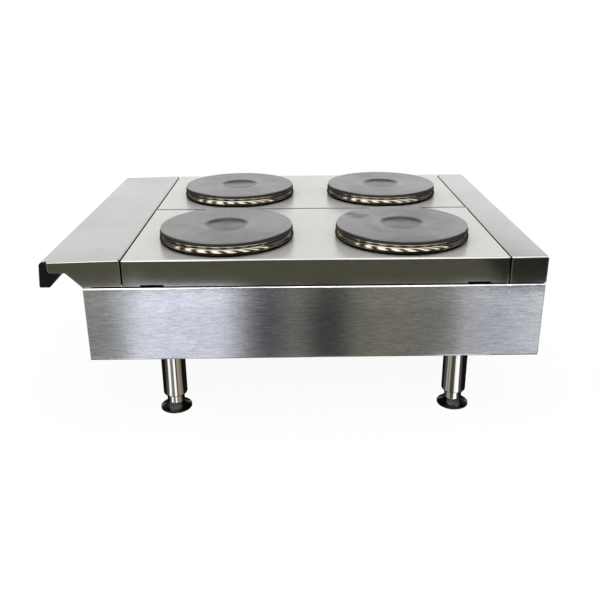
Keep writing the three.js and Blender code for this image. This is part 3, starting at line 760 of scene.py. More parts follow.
def side_section(sign, inset=0.0):
    """Bottom flange, side and top flange, seen from the front, with its outside moved in by inset."""
    path = [
        (HALF_WIDTH - BOTTOM_FLANGE, CABINET_BOTTOM),
        (HALF_WIDTH, CABINET_BOTTOM),
        (HALF_WIDTH, CABINET_TOP),
        (HALF_WIDTH - TOP_FLANGE, CABINET_TOP),
    ]
    outer, normals = rounded(path, [0, SIDE_BOTTOM_FOLD, SIDE_TOP_FOLD, 0], closed=False)
    section = np.concatenate([outer + normals * inset, (outer + normals * SHEET)[::-1]])
    return section * np.array([sign, 1.0])


def side_shell(sign):
    """The section carried along the side. Near each end its outside moves in by ease*(1-sin a)."""
    angle = np.linspace(0.0, math.pi / 2, 6)
    inset = np.concatenate([END_EASE * (1 - np.sin(angle)), [0.0]])
    reach = np.concatenate([END_EASE * (1 - np.cos(angle)), [END_EASE + SUPPORT]])
    places = np.concatenate([CABINET_FRONT + reach, (CABINET_BACK - reach)[::-1]])
    insets = np.concatenate([inset, inset[::-1]])
    return loft(np.array([along(1, side_section(sign, i), [p])[0] for i, p in zip(insets, places)]))


for side, sign in (("right", 1.0), ("left", -1.0)):
    make_piece(f"cabinet_side_{side}", side_shell(sign), steel_side, "brushed_stainless",
               replaces=[f"side_panel_{side}"])
print("sides", round(CABINET_BACK - CABINET_FRONT, 4), "long")

# %% [markdown]
# ## Control panel
# The front sheet stands between the two sides, with its own edges folded back.

# %% Control panel
panel_low, panel_high = span("control_panel")
PANEL_FOLD = 2.2 * MM
panel_path = [
    (panel_high[1], panel_low[2]),
    (panel_low[1], panel_low[2]),
    (panel_low[1], panel_high[2]),
    (panel_high[1], panel_high[2]),
]
panel_section, panel_normals = rounded(panel_path, [0, PANEL_FOLD, PANEL_FOLD, 0], closed=False)
panel_ring = np.concatenate([panel_section, (panel_section - panel_normals * SHEET)[::-1]])
make_piece("front_panel", prism(0, panel_ring, panel_low[0], panel_high[0]),
           steel_front, "brushed_stainless", replaces=["control_panel"])
CONTROL_FACE = panel_low[1]
print("control face at", round(CONTROL_FACE, 4))

# %% [markdown]
# ## Landing ledge
# The ledge is one sheet: a back fold against the deck, a top that falls slightly to the front, a
# rounded front and a lip to pull on, which returns under itself. A plate with a rounded nose is
# welded over each end, and its edge is ground to the same radius as the folds.

# %% Landing ledge
LIP_LEAN = 3.5 * MM
LIP_FOOT = 16.3 * MM
LIP_RETURN = 32.0 * MM
LIP_RADIUS = 6.0 * MM
NOSE_SETBACK = 12.0 * MM
NOSE_HEIGHT = 17.5 * MM
NOSE_RADIUS = 7.0 * MM
NOSE_LENGTH = 26.5 * MM
LEDGE_FALL = 3.0 * MM
FOLD = 2.6 * MM

ledge_low, ledge_high = span("landing_ledge")
cap_low, cap_high = span("ledge_cap_right")
tray_low, tray_high = span("ledge_undertray")
LIP_FACE = ledge_low[1] + LIP_LEAN
LEDGE_BACK = ledge_high[1]
LIP_TOP = DECK_TOP - LEDGE_FALL
LIP_BOTTOM = cap_low[2]
NOSE_FLOOR = LIP_TOP - NOSE_HEIGHT
LEDGE_SLOPE = LEDGE_FALL / (LEDGE_BACK - LIP_FACE)


def ledge_height(y):
    """Top of the ledge at a place between the lip and the deck."""
    return LIP_TOP + LEDGE_SLOPE * (y - LIP_FACE)


print("ledge falls", round(LEDGE_FALL, 4), "and its lip ends", round(LIP_BOTTOM, 4), "above the floor")

# %% [markdown]
# ### Section and end plates
# The folded sheet is a section carried along X. Past the caps only its top goes on, as a strip that
# reaches the two end plates, and each end plate is a slab with a rounded rim.

# %% Section and end plates
ledge_path = [
    (LEDGE_BACK, TIER_BOTTOM),
    (LEDGE_BACK, DECK_TOP),
    (LIP_FACE, LIP_TOP),
    (LIP_FACE - LIP_LEAN, LIP_BOTTOM),
    (LIP_FACE - LIP_LEAN + LIP_FOOT, LIP_BOTTOM),
    (LIP_FACE + LIP_RETURN, NOSE_FLOOR),
]
ledge_section = sheet_section(ledge_path, [0, FOLD, LIP_RADIUS, 2.4 * MM, 2.4 * MM, 0])
lip_end = cap_low[0] - 0.3 * MM
plate_inner = ledge_high[0] - SHEET

nose_y = LIP_FACE + NOSE_SETBACK
top_strip = np.array([
    (LEDGE_BACK - FOLD, DECK_TOP - SHEET),
    (LEDGE_BACK - FOLD, ledge_height(LEDGE_BACK - FOLD)),
    (nose_y, ledge_height(nose_y)),
    (nose_y, ledge_height(nose_y) - SHEET),
])
end_outline, end_normals = rounded(
    [
        (LEDGE_BACK, TIER_BOTTOM + REVEAL),
        (LEDGE_BACK, DECK_TOP),
        (nose_y, ledge_height(nose_y)),
        (nose_y, NOSE_FLOOR),
        (nose_y + NOSE_LENGTH, NOSE_FLOOR),
        (CABINET_FRONT, TIER_BOTTOM + REVEAL),
    ],
    [1.5 * MM, FOLD, 1.5 * MM, NOSE_RADIUS, 2.0 * MM, 1.5 * MM],
)
ledge_shells = [prism(0, ledge_section, -lip_end, lip_end)]
for sign in (1.0, -1.0):
    ledge_shells.append(prism(0, top_strip, sign * lip_end, sign * plate_inner))
    ledge_shells.append(slab(0, end_outline, end_normals, sign * plate_inner, sign * ledge_high[0], 1.3 * MM))
second_finish(make_piece("landing_ledge_sheet", joined(*ledge_shells), steel_ledge, "brushed_stainless",
                         replaces=["landing_ledge"]), steel_skirt_shaded, upright)
print("ledge", round(LEDGE_BACK - LIP_FACE, 4), "deep")

# %% [markdown]
# ## Lip caps and undertray
# A black moulding plugs each end of the lip just inside the end plate. The undertray closes the
# ledge underneath, from the lip's return down to the control panel.

# %% Lip caps
CAP_TOP_EDGE = LIP_FACE + NOSE_SETBACK - 0.3 * MM


def cap_outline():
    """The lip's outline filled in, with a step down behind the nose where the ledge covers it."""
    under_sheet = SHEET + 0.3 * MM
    points = [
        (LIP_FACE + LIP_RETURN, NOSE_FLOOR),
        (LIP_FACE + LIP_RETURN, ledge_height(LIP_FACE + LIP_RETURN) - under_sheet),
        (CAP_TOP_EDGE, ledge_height(CAP_TOP_EDGE) - under_sheet),
        (CAP_TOP_EDGE, ledge_height(CAP_TOP_EDGE)),
        (LIP_FACE, LIP_TOP),
        (LIP_FACE - LIP_LEAN, LIP_BOTTOM),
        (LIP_FACE - LIP_LEAN + LIP_FOOT, LIP_BOTTOM),
    ]
    radii = [1.0 * MM, 0, 0, 1.0 * MM, LIP_RADIUS, 2.4 * MM, 2.4 * MM]
    return rounded(points, radii)


cap_points, cap_normals = cap_outline()
for side, sign in (("right", 1.0), ("left", -1.0)):
    shell = slab(0, cap_points, cap_normals, sign * cap_low[0], sign * cap_high[0], 0.8 * MM)
    make_piece(f"lip_cap_{side}", shell, black_plastic, "black_plastic", replaces=[f"ledge_cap_{side}"])
print("lip caps", np.round(cap_high - cap_low, 4))

# %% Undertray
tray_path = [
    (tray_high[1], TIER_BOTTOM),
    (CABINET_FRONT, TIER_BOTTOM),
    (nose_y + NOSE_LENGTH, NOSE_FLOOR),
    (tray_low[1], NOSE_FLOOR),
]
tray_outer, tray_normals = rounded(tray_path, [0, 2.0 * MM, 2.0 * MM, 0], closed=False)
tray_ring = np.concatenate([tray_outer, (tray_outer - tray_normals * SHEET)[::-1]])
make_piece("undertray", prism(0, tray_ring, tray_low[0], tray_high[0]),
           steel_ledge, "brushed_stainless", replaces=["ledge_undertray"])
print("undertray", np.round(tray_high - tray_low, 4))

# %% [markdown]
# ## Folded pans
# The rear strip and the deck panels are shallow pans turned upside down. Take the flat top's edge
# and, at each of its points, the direction outwards. Moving the point outwards by r*sin(a) and
# down by r*(1-cos(a)) draws the fold, and more rings carry the skirt down and back up inside.
# At a corner the same point is kept while its direction swings round, which draws the corner. The
# swing is pushed out towards the square corner, as a corner that is bent and then welded is tight.

# %% Skirts round a flat top
CORNER_STEPS = 6
CORNER_TIGHT = 0.75
FOLD_STEPS = 6


def skirt_rings(edge, outwards, top, bottom, fold, gauge):
    """Rings from the flat top's edge over the fold, down the skirt, and up inside it."""
    angles = np.linspace(0.0, math.pi / 2, FOLD_STEPS + 1)
    moves = [(fold * math.sin(a), top - fold * (1 - math.cos(a))) for a in angles]
    moves += [(fold, top - fold - SUPPORT), (fold, bottom), (fold - gauge, bottom),
              (fold - gauge, top - gauge), (0.0, top - gauge)]
    rings = []
    for reach, height in moves:
        ring = np.zeros((len(edge), 3))
        ring[:, :2] = edge + outwards * reach
        ring[:, 2] = height
        rings.append(ring)
    return np.array(rings)


def swing_corners(edge, half_x, half_y):
    """Repeats each corner of a rectangular edge while its outward direction swings a quarter turn."""
    points, outwards = [], []
    for x, y in edge:
        on_side = abs(abs(x) - half_x) < 1e-7
        on_end = abs(abs(y) - half_y) < 1e-7
        if on_side and on_end:
            start = math.atan2(y, x)
            first = math.floor(start / (math.pi / 2)) * (math.pi / 2)
            for k in range(CORNER_STEPS + 1):
                angle = first + (math.pi / 2) * k / CORNER_STEPS
                points.append((x, y))
                tight = max(abs(math.cos(angle)), abs(math.sin(angle))) ** CORNER_TIGHT
                outwards.append((math.cos(angle) / tight, math.sin(angle) / tight))
        else:
            points.append((x, y))
            outwards.append((math.copysign(1, x), 0.0) if on_side else (0.0, math.copysign(1, y)))
    return np.array(points), np.array(outwards)


def plain_pan(low, high, fold, gauge):
    """An upside-down pan with a plain top, between two corners."""
    centre = (low + high) / 2
    half = (high - low)[:2] / 2 - fold
    corners = np.array([(1, 1), (-1, 1), (-1, -1), (1, -1)]) * half
    edge, outwards = swing_corners(corners, *half)
    rings = skirt_rings(edge, outwards, high[2], low[2] + REVEAL, fold, gauge)
    rings[:, :, :2] += centre[:2]
    return loft(rings)


strip_low, strip_high = span("rear_strip")
strip = make_piece("rear_strip_cover", plain_pan(strip_low, strip_high, FOLD, SHEET),
                   steel_ledge, "brushed_stainless", replaces=["rear_strip"])
second_finish(strip, steel_skirt_shaded, upright)
second_finish(strip, steel_front, lambda normals, centres: normals[:, 1] > 0.7)
print("rear strip", np.round(strip_high - strip_low, 4))

# %% [markdown]
# ## Deck panels
# Each deck panel has two round holes, so its top can't be one face. It is cut in half across, and
# each half is a patch between its hole and its own edge: a ray from the hole's centre meets the
# circle and the rectangle, and the patch is the straight blend between those two points. The
# front half is the back half mirrored, so the two meet point for point.

# %% Sizes of the deck, and where a ray leaves its panel
iron_low, iron_high = span("iron_plate_back_right")
PLATE_RADIUS = (iron_high[0] - iron_low[0]) / 2
HOLE_RADIUS = PLATE_RADIUS - 9.0 * MM
SLOT_INSET = 27.0 * MM
SLOT_LENGTH = 36.5 * MM
SLOT_HEIGHT = 4.5 * MM
PATCH_BLEND = np.array([0.0, 0.5, 0.996, 1.0])
STEP = 0.01 * MM


def box_hits(angles, centre, half_x, far_y):
    """Where rays from the hole's centre meet the rectangle -half_x..half_x, 0..far_y."""
    ray = np.stack([np.cos(angles), np.sin(angles)], axis=1)
    with np.errstate(divide="ignore"):
        to_side = np.abs(np.where(ray[:, 0] > 0, half_x - centre[0], half_x + centre[0]) / ray[:, 0])
        to_end = np.abs(np.where(ray[:, 1] > 0, far_y - centre[1], centre[1]) / ray[:, 1])
    reach = np.minimum(to_side, to_end)
    hits = centre + ray * reach[:, None]
    hits[:, 0] = np.where(to_side <= to_end, np.sign(ray[:, 0]) * half_x, hits[:, 0])
    hits[:, 1] = np.where(to_side > to_end, np.where(ray[:, 1] > 0, far_y, 0.0), hits[:, 1])
    return ray, hits


print("hole radius", round(HOLE_RADIUS, 4))

# %% A pan with two holes


def deck_pan(low, high, hole, fold, gauge):
    """A pan with two round holes and a notch near each end of both long skirts."""
    centre = (low + high) / 2
    half_x, half_y = (high - low)[:2] / 2 - fold
    middle_hole = np.array([hole[0] - centre[0], abs(hole[1] - centre[1])])
    full_y = half_y + fold
    notch = np.array([full_y - SLOT_INSET - SLOT_LENGTH, full_y - SLOT_INSET])
    notch_edges = np.concatenate([notch - STEP, notch + STEP])
    targets = [(x, y) for x in (-half_x, half_x) for y in (0.0, half_y, *notch_edges)]
    aimed = [math.atan2(y - middle_hole[1], x - middle_hole[0]) % (2 * math.pi) for x, y in targets]
    even = np.linspace(0.0, 2 * math.pi, 120, endpoint=False)
    angles = np.unique(np.round(np.concatenate([even, aimed]), 9))
    ray, hits = box_hits(angles, middle_hole, half_x, half_y)
    circle = middle_hole + ray * HOLE_RADIUS
    patch = circle[None] + (hits - circle)[None] * PATCH_BLEND[:, None, None]

    shells = []
    for sign in (1.0, -1.0):
        for height in (high[2], high[2] - gauge):
            rings = np.zeros((len(PATCH_BLEND), len(angles), 3))
            rings[:, :, :2] = patch * np.array([1.0, sign]) + centre[:2]
            rings[:, :, 2] = height
            points, faces = loft(rings)
            shells.append((points, faces[:-2]))
        wall = np.zeros((2, len(angles), 3))
        wall[:, :, :2] = circle * np.array([1.0, sign]) + centre[:2]
        wall[0, :, 2], wall[1, :, 2] = high[2], high[2] - gauge
        points, faces = loft(wall)
        shells.append((points, faces[:-2]))

    outline = hits[hits[:, 1] > 1e-9]
    seam = hits[(hits[:, 1] <= 1e-9) & (np.abs(np.abs(hits[:, 0]) - half_x) < 1e-7)]
    edge = np.concatenate([outline, outline * np.array([1.0, -1.0]), seam])
    edge = np.unique(np.round(edge, 9), axis=0)
    edge = edge[np.argsort(np.arctan2(edge[:, 1] / half_y, edge[:, 0] / half_x))]
    edge, outwards = swing_corners(edge, half_x, half_y)
    rings = skirt_rings(edge, outwards, high[2], low[2] + REVEAL, fold, gauge)
    within = (np.abs(edge[:, 1]) > notch[0]) & (np.abs(edge[:, 1]) < notch[1])
    in_notch = (np.abs(outwards[:, 0]) > 0.99) & within
    at_bottom = np.isclose(rings[:, :, 2], low[2] + REVEAL)
    rings[:, :, 2] = np.where(at_bottom & in_notch[None], low[2] + SLOT_HEIGHT, rings[:, :, 2])
    rings[:, :, :2] += centre[:2]
    points, faces = loft(rings)
    shells.append((points, faces[:-2]))
    return joined(*shells)


print("slots", round(SLOT_LENGTH, 4), "long and", round(SLOT_HEIGHT, 4), "high")

# %% Deck panels
SEAM_EASE = 1.9 * MM


def tighten_seam(shell, seam_x, side):
    """Flattens the fold beside the middle seam to a tenth of its drop, so the seam reads as a line."""
    points, faces = shell
    from_seam = (points[:, 0] - seam_x) * side
    drop = DECK_TOP - points[:, 2]
    near = (from_seam < FOLD + 1e-6) & (drop > 0) & (drop < FOLD + 1e-6)
    points[:, 2] = np.where(near, DECK_TOP - drop * 0.1, points[:, 2])
    return points, faces


for side, sign in (("right", 1.0), ("left", -1.0)):
    low, high = span(f"deck_panel_{side}")
    hole = middle(f"iron_plate_back_{side}")
    seam_edge = low if sign > 0 else high
    seam_edge[0] += sign * SEAM_EASE
    shell = tighten_seam(deck_pan(low, high, hole, FOLD, SHEET), seam_edge[0], sign)
    second_finish(make_piece(f"deck_sheet_{side}", shell, steel_deck, "brushed_stainless",
                             replaces=[f"deck_panel_{side}"]), steel_skirt_shaded, upright)
print("deck panel", np.round(deck_high - deck_low, 4))

# %% [markdown]
# ## Seam shade strip
# A narrow gap is left between the two deck panels, and a black strip fills it just below the top as
# painted shade, so the seam shows as one dark line. It is a small rectangle carried along the depth of the
# deck.

# %% Black strip painting the shade in the seam between the deck panels
SHADE_STRIP_DEPTH = 9 * MM
SHADE_STRIP_SUNK = 0.3 * MM
SHADE_STRIP_SETBACK = 3 * MM
shade_strip_half = deck_low[0] + SEAM_EASE
shade_strip_outline, _ = rounded(
    [(-shade_strip_half, DECK_TOP - SHADE_STRIP_DEPTH), (shade_strip_half, DECK_TOP - SHADE_STRIP_DEPTH),
     (shade_strip_half, DECK_TOP - SHADE_STRIP_SUNK), (-shade_strip_half, DECK_TOP - SHADE_STRIP_SUNK)], [0.4 * MM] * 4)
make_piece("seam_shade_strip", prism(1, shade_strip_outline, deck_low[1] + SHADE_STRIP_SETBACK, deck_high[1] - SHADE_STRIP_SETBACK),
           black_plastic, "black_plastic")
print("shade_strip", round(2 * shade_strip_half, 4), "wide")

# %% [markdown]
# ## Iron plates
# A plate is turned iron: a flat top with an eased edge, a shallow dished recess in the middle that
# is left unheated, and a skirt that hides the coil. The dish is a cosine, so it has no crease.

# %% Iron plates
DISH_RADIUS = 39.5 * MM
DISH_DEPTH = 2.6 * MM
PLATE_RIM = 5.1 * MM
SKIRT_INSET = 10.0 * MM
SKIRT_WALL = 6.0 * MM
PLATE_BELOW = 8.0 * MM
PLATE_WEB = 8.0 * MM
STUD_RADIUS = 4.0 * MM
EASED_EDGE = 1.3 * MM


def dish_profile(top):
    """Radius and height from the middle to the dish's edge: a cosine wall round a flat floor."""
    radius = np.linspace(0.0, DISH_RADIUS, 28)
    wall = np.clip((radius - DISH_RADIUS * 0.72) / (DISH_RADIUS * 0.28), 0.0, 1.0)
    sag = DISH_DEPTH * (0.5 + 0.5 * np.cos(wall * math.pi))
    sag += 0.25 * MM * (1 - (radius / DISH_RADIUS) ** 2) * (wall < 1)
    return np.stack([radius, top - sag], axis=1)


def iron_profile(top, stud_bottom):
    """The whole section, from the middle of the dish round to the foot of the stud."""
    rim_bottom = top - PLATE_RIM
    deck = DECK_TOP
    skirt = PLATE_RADIUS - SKIRT_INSET
    web = rim_bottom - PLATE_WEB
    edge, _ = rounded(
        [
            (DISH_RADIUS + 4 * MM, top),
            (PLATE_RADIUS, top),
            (PLATE_RADIUS, rim_bottom),
            (skirt, rim_bottom),
            (skirt, deck - PLATE_BELOW),
            (skirt - SKIRT_WALL, deck - PLATE_BELOW),
            (skirt - SKIRT_WALL, web),
            (STUD_RADIUS, web),
            (STUD_RADIUS, stud_bottom),
            (0.0, stud_bottom),
        ],
        [0, EASED_EDGE, 0.6 * MM, 0, 1.0 * MM, 1.0 * MM, 0, 0, 0, 0],
        closed=False,
    )
    return np.concatenate([dish_profile(top), edge])


def rim_and_underside(normals, centres):
    """The faces of the plate that stand steeper than about 53 degrees, and those that look down."""
    return (np.abs(normals[:, 2]) < 0.6) | (normals[:, 2] < 0)


for corner in CORNERS:
    low, high = span(f"iron_plate_{corner}")
    axis = middle(f"iron_plate_{corner}") * np.array([1.0, 1.0, 0.0])
    plate = make_piece(f"plate_{corner}", turned(iron_profile(high[2], low[2]), axis, 180),
                       iron, "cast_iron", replaces=[f"iron_plate_{corner}"], centre=axis)
    second_finish(plate, iron_edge, rim_and_underside)
print("plate radius", round(PLATE_RADIUS, 4))

# %% [markdown]
# ## Spill rings
# The ring is spun from thin bright sheet: a small bead rolled on its rim under the iron, a groove,
# then a belly that bulges out and tucks back in where it meets the deck.

# %% Spill rings
ring_low, ring_high = span("spill_ring_back_right")
RING_RADIUS = (ring_high[0] - ring_low[0]) / 2
RING_GAUGE = 0.9 * MM
RING_BEAD = 0.95 * MM
RING_BULGE = 5.2 * MM
RING_TUCK = 7.5 * MM
RING_WIDEST = 5.4 * MM
RING_SHOULDER = 8.4 * MM


def ring_profile(bottom, top):
    """Belly: R - depth*(1 - cos t) against widest + height*sin t, with one depth and height under its
    widest point (t = 0) and another over it; then a groove, and a bead rolled on the rim."""
    bead_centre = np.array([RING_RADIUS - 2.1 * MM, top - RING_BEAD])
    turn = np.linspace(-0.5 * math.pi, 0.42 * math.pi, 30)
    under = turn < 0
    depth, height = np.where(under, RING_TUCK, RING_BULGE), np.where(under, RING_WIDEST, RING_SHOULDER)
    outer = np.stack([RING_RADIUS - depth * (1 - np.cos(turn)),
                      bottom + RING_WIDEST + height * np.sin(turn)], axis=1)
    roll = np.linspace(-0.75 * math.pi, 0.6 * math.pi, 14)
    bead = bead_centre + RING_BEAD * np.stack([np.cos(roll), np.sin(roll)], axis=1)
    inside = PLATE_RADIUS - SKIRT_INSET + 1 * MM
    shelf = np.array([(inside, bead[-1][1]), (inside, bead[-1][1] - RING_GAUGE)])
    inner = outer[::-1] - np.array([RING_GAUGE, 0.0])
    inner = inner[inner[:, 1] < bead[-1][1] - RING_GAUGE - 0.2 * MM]
    return np.concatenate([outer, bead, shelf, inner])


for corner in CORNERS:
    low, high = span(f"spill_ring_{corner}")
    axis = middle(f"spill_ring_{corner}") * np.array([1.0, 1.0, 0.0])
    make_piece(f"ring_{corner}", turned(ring_profile(low[2], high[2]), axis, 180, closed=True),
               bright_ring, "polished_stainless", replaces=[f"spill_ring_{corner}"], sharp=50.0, centre=axis)
print("ring radius", round(RING_RADIUS, 4))

# %% [markdown]
# ## Legs and feet
# The leg is a tube whose end is rolled in round the foot's neck. The foot flares from that neck in
# a hollow curve to a broad flat base, and it screws out of the tube to level the hot plate.

# %% Legs and feet
LEG_RADIUS = 20.0 * MM
LEG_ROLL = 5.0 * MM
NECK_RADIUS = 14.5 * MM
LEG_STUD_RADIUS = 5.0 * MM
FOOT_FLARE = 14.0 * MM
FOOT_EDGE = 3.2 * MM
LEG_TOP = CABINET_BOTTOM + SHEET
BORE_TOP = 78.0 * MM


def leg_profile(low, high):
    """Bore, rolled end, tube and the stud above it."""
    bore = NECK_RADIUS + 0.3 * MM
    path = [(0.0, BORE_TOP), (bore, BORE_TOP), (bore, low), (LEG_RADIUS, low),
            (LEG_RADIUS, LEG_TOP), (LEG_STUD_RADIUS, LEG_TOP), (LEG_STUD_RADIUS, high), (0.0, high)]
    line, _ = rounded(path, [0, 0, 0.05 * MM, LEG_ROLL, 0.3 * MM, 0, 0.5 * MM, 0], closed=False, steps=8)
    return line


def foot_profile(radius, top):
    """Flat base, upright edge, a cone hollowed by a sine up to the neck, and the neck in the tube."""
    part = np.linspace(0.0, 1.0, 14)[1:]
    reach = radius - 0.6 * MM - NECK_RADIUS
    rise = FOOT_FLARE - FOOT_EDGE
    hollow = 1.0 * MM * np.sin(part * math.pi)
    flare = np.stack([radius - 0.6 * MM - reach * part - hollow * 0.7,
                      FOOT_EDGE + rise * part - hollow * 0.7], axis=1)
    base, _ = rounded([(0.0, 0.0), (radius, 0.0), (radius, FOOT_EDGE), (radius - 0.6 * MM, FOOT_EDGE)],
                      [0, 1.0 * MM, 0.5 * MM, 0], closed=False)
    neck = np.array([(NECK_RADIUS, FOOT_FLARE + 1 * MM), (NECK_RADIUS, top), (0.0, top)])
    return np.concatenate([base, flare, neck])


for corner in CORNERS:
    low, high = span(f"leg_{corner}")
    axis = middle(f"leg_{corner}") * np.array([1.0, 1.0, 0.0])
    make_piece(f"leg_tube_{corner}", turned(leg_profile(low[2], high[2]), axis, 96),
               leg_chrome, "chrome", replaces=[f"leg_{corner}"], centre=axis)
    low, high = span(f"foot_{corner}")
    radius = (high[0] - low[0]) / 2
    foot = make_piece(f"levelling_foot_{corner}", turned(foot_profile(radius, high[2]), axis, 96),
                      foot_chrome, "dark_chrome", body=f"levelling_foot_{corner}",
                      replaces=[f"foot_{corner}"], centre=axis)
    second_finish(foot, leg_chrome, lambda normals, centres: centres[:, 2] > FOOT_FLARE)
print("legs and feet", len(CORNERS))

# %% [markdown]
# ## Knobs
# A knob is a skirt with a fluted grip. Its radius is a turned profile times one minus a small
# cosine of the angle, so the flutes run up the grip and fade out at the skirt. A white line on the
# grip and the skirt points to the setting.

# %% Knobs
KNOB_FLUTES = 18
FLUTE_DEPTH = 0.045
KNOB_SKIRT = 6.0 * MM
GRIP_RADIUS = 16.5 * MM
PRINT_RISE = 0.25 * MM
KNOB_BORE = 3.3 * MM
BORE_DEPTH = 16.0 * MM


def knob_shell(centre, low, high, radius):
    """Fluted knob about an axis along -Y: rings of (radius, height) with the grip's radius fluted."""
    path = [(KNOB_BORE, low), (radius, low), (radius - 1.2 * MM, low + KNOB_SKIRT),
            (GRIP_RADIUS, low + KNOB_SKIRT + 0.8 * MM), (GRIP_RADIUS - 1.0 * MM, high), (0.0, high)]
    line, _ = rounded(path, [0, 1.0 * MM, 1.2 * MM, 1.2 * MM, 2.2 * MM, 0], closed=False, steps=7)
    bore = np.array([(0.0, low + BORE_DEPTH), (KNOB_BORE, low + BORE_DEPTH)])
    line = np.concatenate([bore, line])
    angle = np.linspace(0.0, 2 * math.pi, 216, endpoint=False)
    on_grip = (line[:, 1] > low + KNOB_SKIRT + 1.5 * MM) & (line[:, 0] > GRIP_RADIUS * 0.5)
    wave = 1 - FLUTE_DEPTH * (0.5 + 0.5 * np.cos(KNOB_FLUTES * angle)) ** 2
    radii = np.where(on_grip[:, None], line[:, :1] * wave, line[:, :1] * np.ones_like(wave))
    rings = np.stack([radii * np.cos(angle), np.broadcast_to(-line[:, 1:], radii.shape),
                      radii * np.sin(angle)], axis=-1)
    return loft(rings + centre)


def bar(axis_x, low, high, y_back, y_front, half_width, edge=0.15 * MM):
    """A thin upright bar with a rounded front, for pointers and printed ticks."""
    outline, normals = rounded(
        [(axis_x - half_width, low), (axis_x + half_width, low), (axis_x + half_width, high),
         (axis_x - half_width, high)], [0.3 * MM] * 4, steps=3)
    return slab(1, outline, normals, y_back, y_front, edge, steps=2)


for number in range(1, 5):
    low, high = span(f"knob_{number}")
    shaft = middle(f"switch_shaft_{number}")
    axis = np.array([shaft[0], 0.0, shaft[2]])
    radius = (high[0] - low[0]) / 2
    make_piece(f"control_knob_{number}", knob_shell(axis, -high[1], -low[1] - PRINT_RISE, radius),
               black_plastic, "black_plastic", body=f"control_{number}",
               replaces=[f"knob_{number}"], sharp=40.0)
    on_face = bar(axis[0], axis[2] + 3 * MM, axis[2] + 13 * MM, low[1] + 2 * PRINT_RISE, low[1],
                  0.9 * MM, 0.1 * MM)
    skirt_face = high[1] - KNOB_SKIRT - 0.6 * MM
    on_skirt = bar(axis[0], axis[2] + 17.8 * MM, axis[2] + 20.4 * MM, skirt_face + 1.2 * MM, skirt_face,
                   0.8 * MM, 0.1 * MM)
    make_piece(f"knob_pointer_{number}", joined(on_face, on_skirt), white_print, "white_print",
               body=f"control_{number}")
print("knobs 4")

# %% [markdown]
# ## Dial marks and lamp
# Printed ticks stand round each knob over its 300 degrees of travel, each with a plain number, from
# 0 at off to 6. The amber lamp sits between the middle knobs in a black bezel.

# %% Dial marks
TICKS = 7
DIAL_TRAVEL = math.radians(300.0)
DIAL_RADIUS = 26.5 * MM
TICK_HALF = (0.4 * MM, 1.6 * MM)


def tick(axis, angle, half_width=TICK_HALF[0], half_length=TICK_HALF[1]):
    """A printed bar standing on the dial circle, angle clockwise from the top."""
    out = np.array([math.sin(angle), math.cos(angle)])
    side = np.array([out[1], -out[0]])
    middle_point = np.array([axis[0], axis[2]]) + out * DIAL_RADIUS
    corners = [middle_point + side * a * half_width + out * b * half_length
               for a, b in ((-1, -1), (1, -1), (1, 1), (-1, 1))]
    outline, normals = rounded(corners, [0.2 * MM] * 4, steps=2)
    return slab(1, outline, normals, CONTROL_FACE, CONTROL_FACE - PRINT_RISE, 0.03 * MM, steps=1)


def number_mesh(text, axis, angle, size=6.2 * MM):
    """A printed number beyond its tick: a flat text made a mesh and stood up on the panel."""
    curve = bpy.data.curves.new("number", "FONT")
    curve.body = text
    curve.size = size
    curve.align_x, curve.align_y = "CENTER", "CENTER"
    curve.extrude = PRINT_RISE / 2
    curve.resolution_u = 3
    holder = bpy.data.objects.new("number", curve)
    scene.collection.objects.link(holder)
    bpy.context.view_layer.update()
    mesh = bpy.data.meshes.new_from_object(holder.evaluated_get(bpy.context.evaluated_depsgraph_get()))
    bpy.data.objects.remove(holder)
    radius = DIAL_RADIUS + 5.8 * MM
    place = (axis[0] + radius * math.sin(angle), CONTROL_FACE - PRINT_RISE / 2,
             axis[2] + radius * math.cos(angle))
    mesh.transform(Matrix.Translation(place) @ Matrix.Rotation(math.pi / 2, 4, "X"))
    points = np.empty(len(mesh.vertices) * 3)
    mesh.vertices.foreach_get("co", points)
    faces = [list(p.vertices) for p in mesh.polygons]
    bpy.data.meshes.remove(mesh)
    return points.reshape(-1, 3), faces


for number in range(1, 5):
    axis = middle(f"switch_shaft_{number}")
    shells = []
    for k in range(TICKS):
        angle = DIAL_TRAVEL * k / (TICKS - 1)
        shells.append(tick(axis, angle))
        shells.append(number_mesh(str(k), axis, angle))
    make_piece(f"dial_print_{number}", joined(*shells), white_print, "white_print")
print("dials", TICKS, "marks each")

# %% Indicator lamp
LENS_STEM = 5.2 * MM
lamp_low, lamp_high = span("indicator_lamp")
lamp_axis = middle("indicator_lamp") * np.array([1.0, 0.0, 1.0])
lamp_radius = (lamp_high[0] - lamp_low[0]) / 2
lens_radius = lamp_radius - 2.2 * MM
face = -CONTROL_FACE
lamp_top = -lamp_low[1]
dome = np.linspace(0.0, math.pi / 2, 12)
dome_foot = face + 2.0 * MM
dome_height = dome_foot + (lamp_top - dome_foot) * np.sin(dome)
lens_line = np.concatenate([
    [(0.0, -lamp_high[1]), (LENS_STEM, -lamp_high[1]),
     (LENS_STEM, face + 1.4 * MM), (lens_radius, face + 1.6 * MM)],
    np.stack([lens_radius * np.cos(dome), dome_height], axis=1),
])
make_piece("lamp_lens", turned(lens_line, lamp_axis, 64, axis="Y"), amber, "amber_lens",
           replaces=["indicator_lamp"])
bezel_line, _ = rounded(
    [(lens_radius + 0.1 * MM, face + 0.3 * MM), (lamp_radius, face + 0.3 * MM),
     (lamp_radius, face + 1.6 * MM), (lens_radius + 0.1 * MM, face + 2.4 * MM)],
    [0, 0.2 * MM, 0.5 * MM, 0.4 * MM])
make_piece("lamp_bezel", turned(bezel_line, lamp_axis, 64, axis="Y", closed=True), black_plastic,
           "black_plastic")
print("lamp radius", round(lamp_radius, 4))
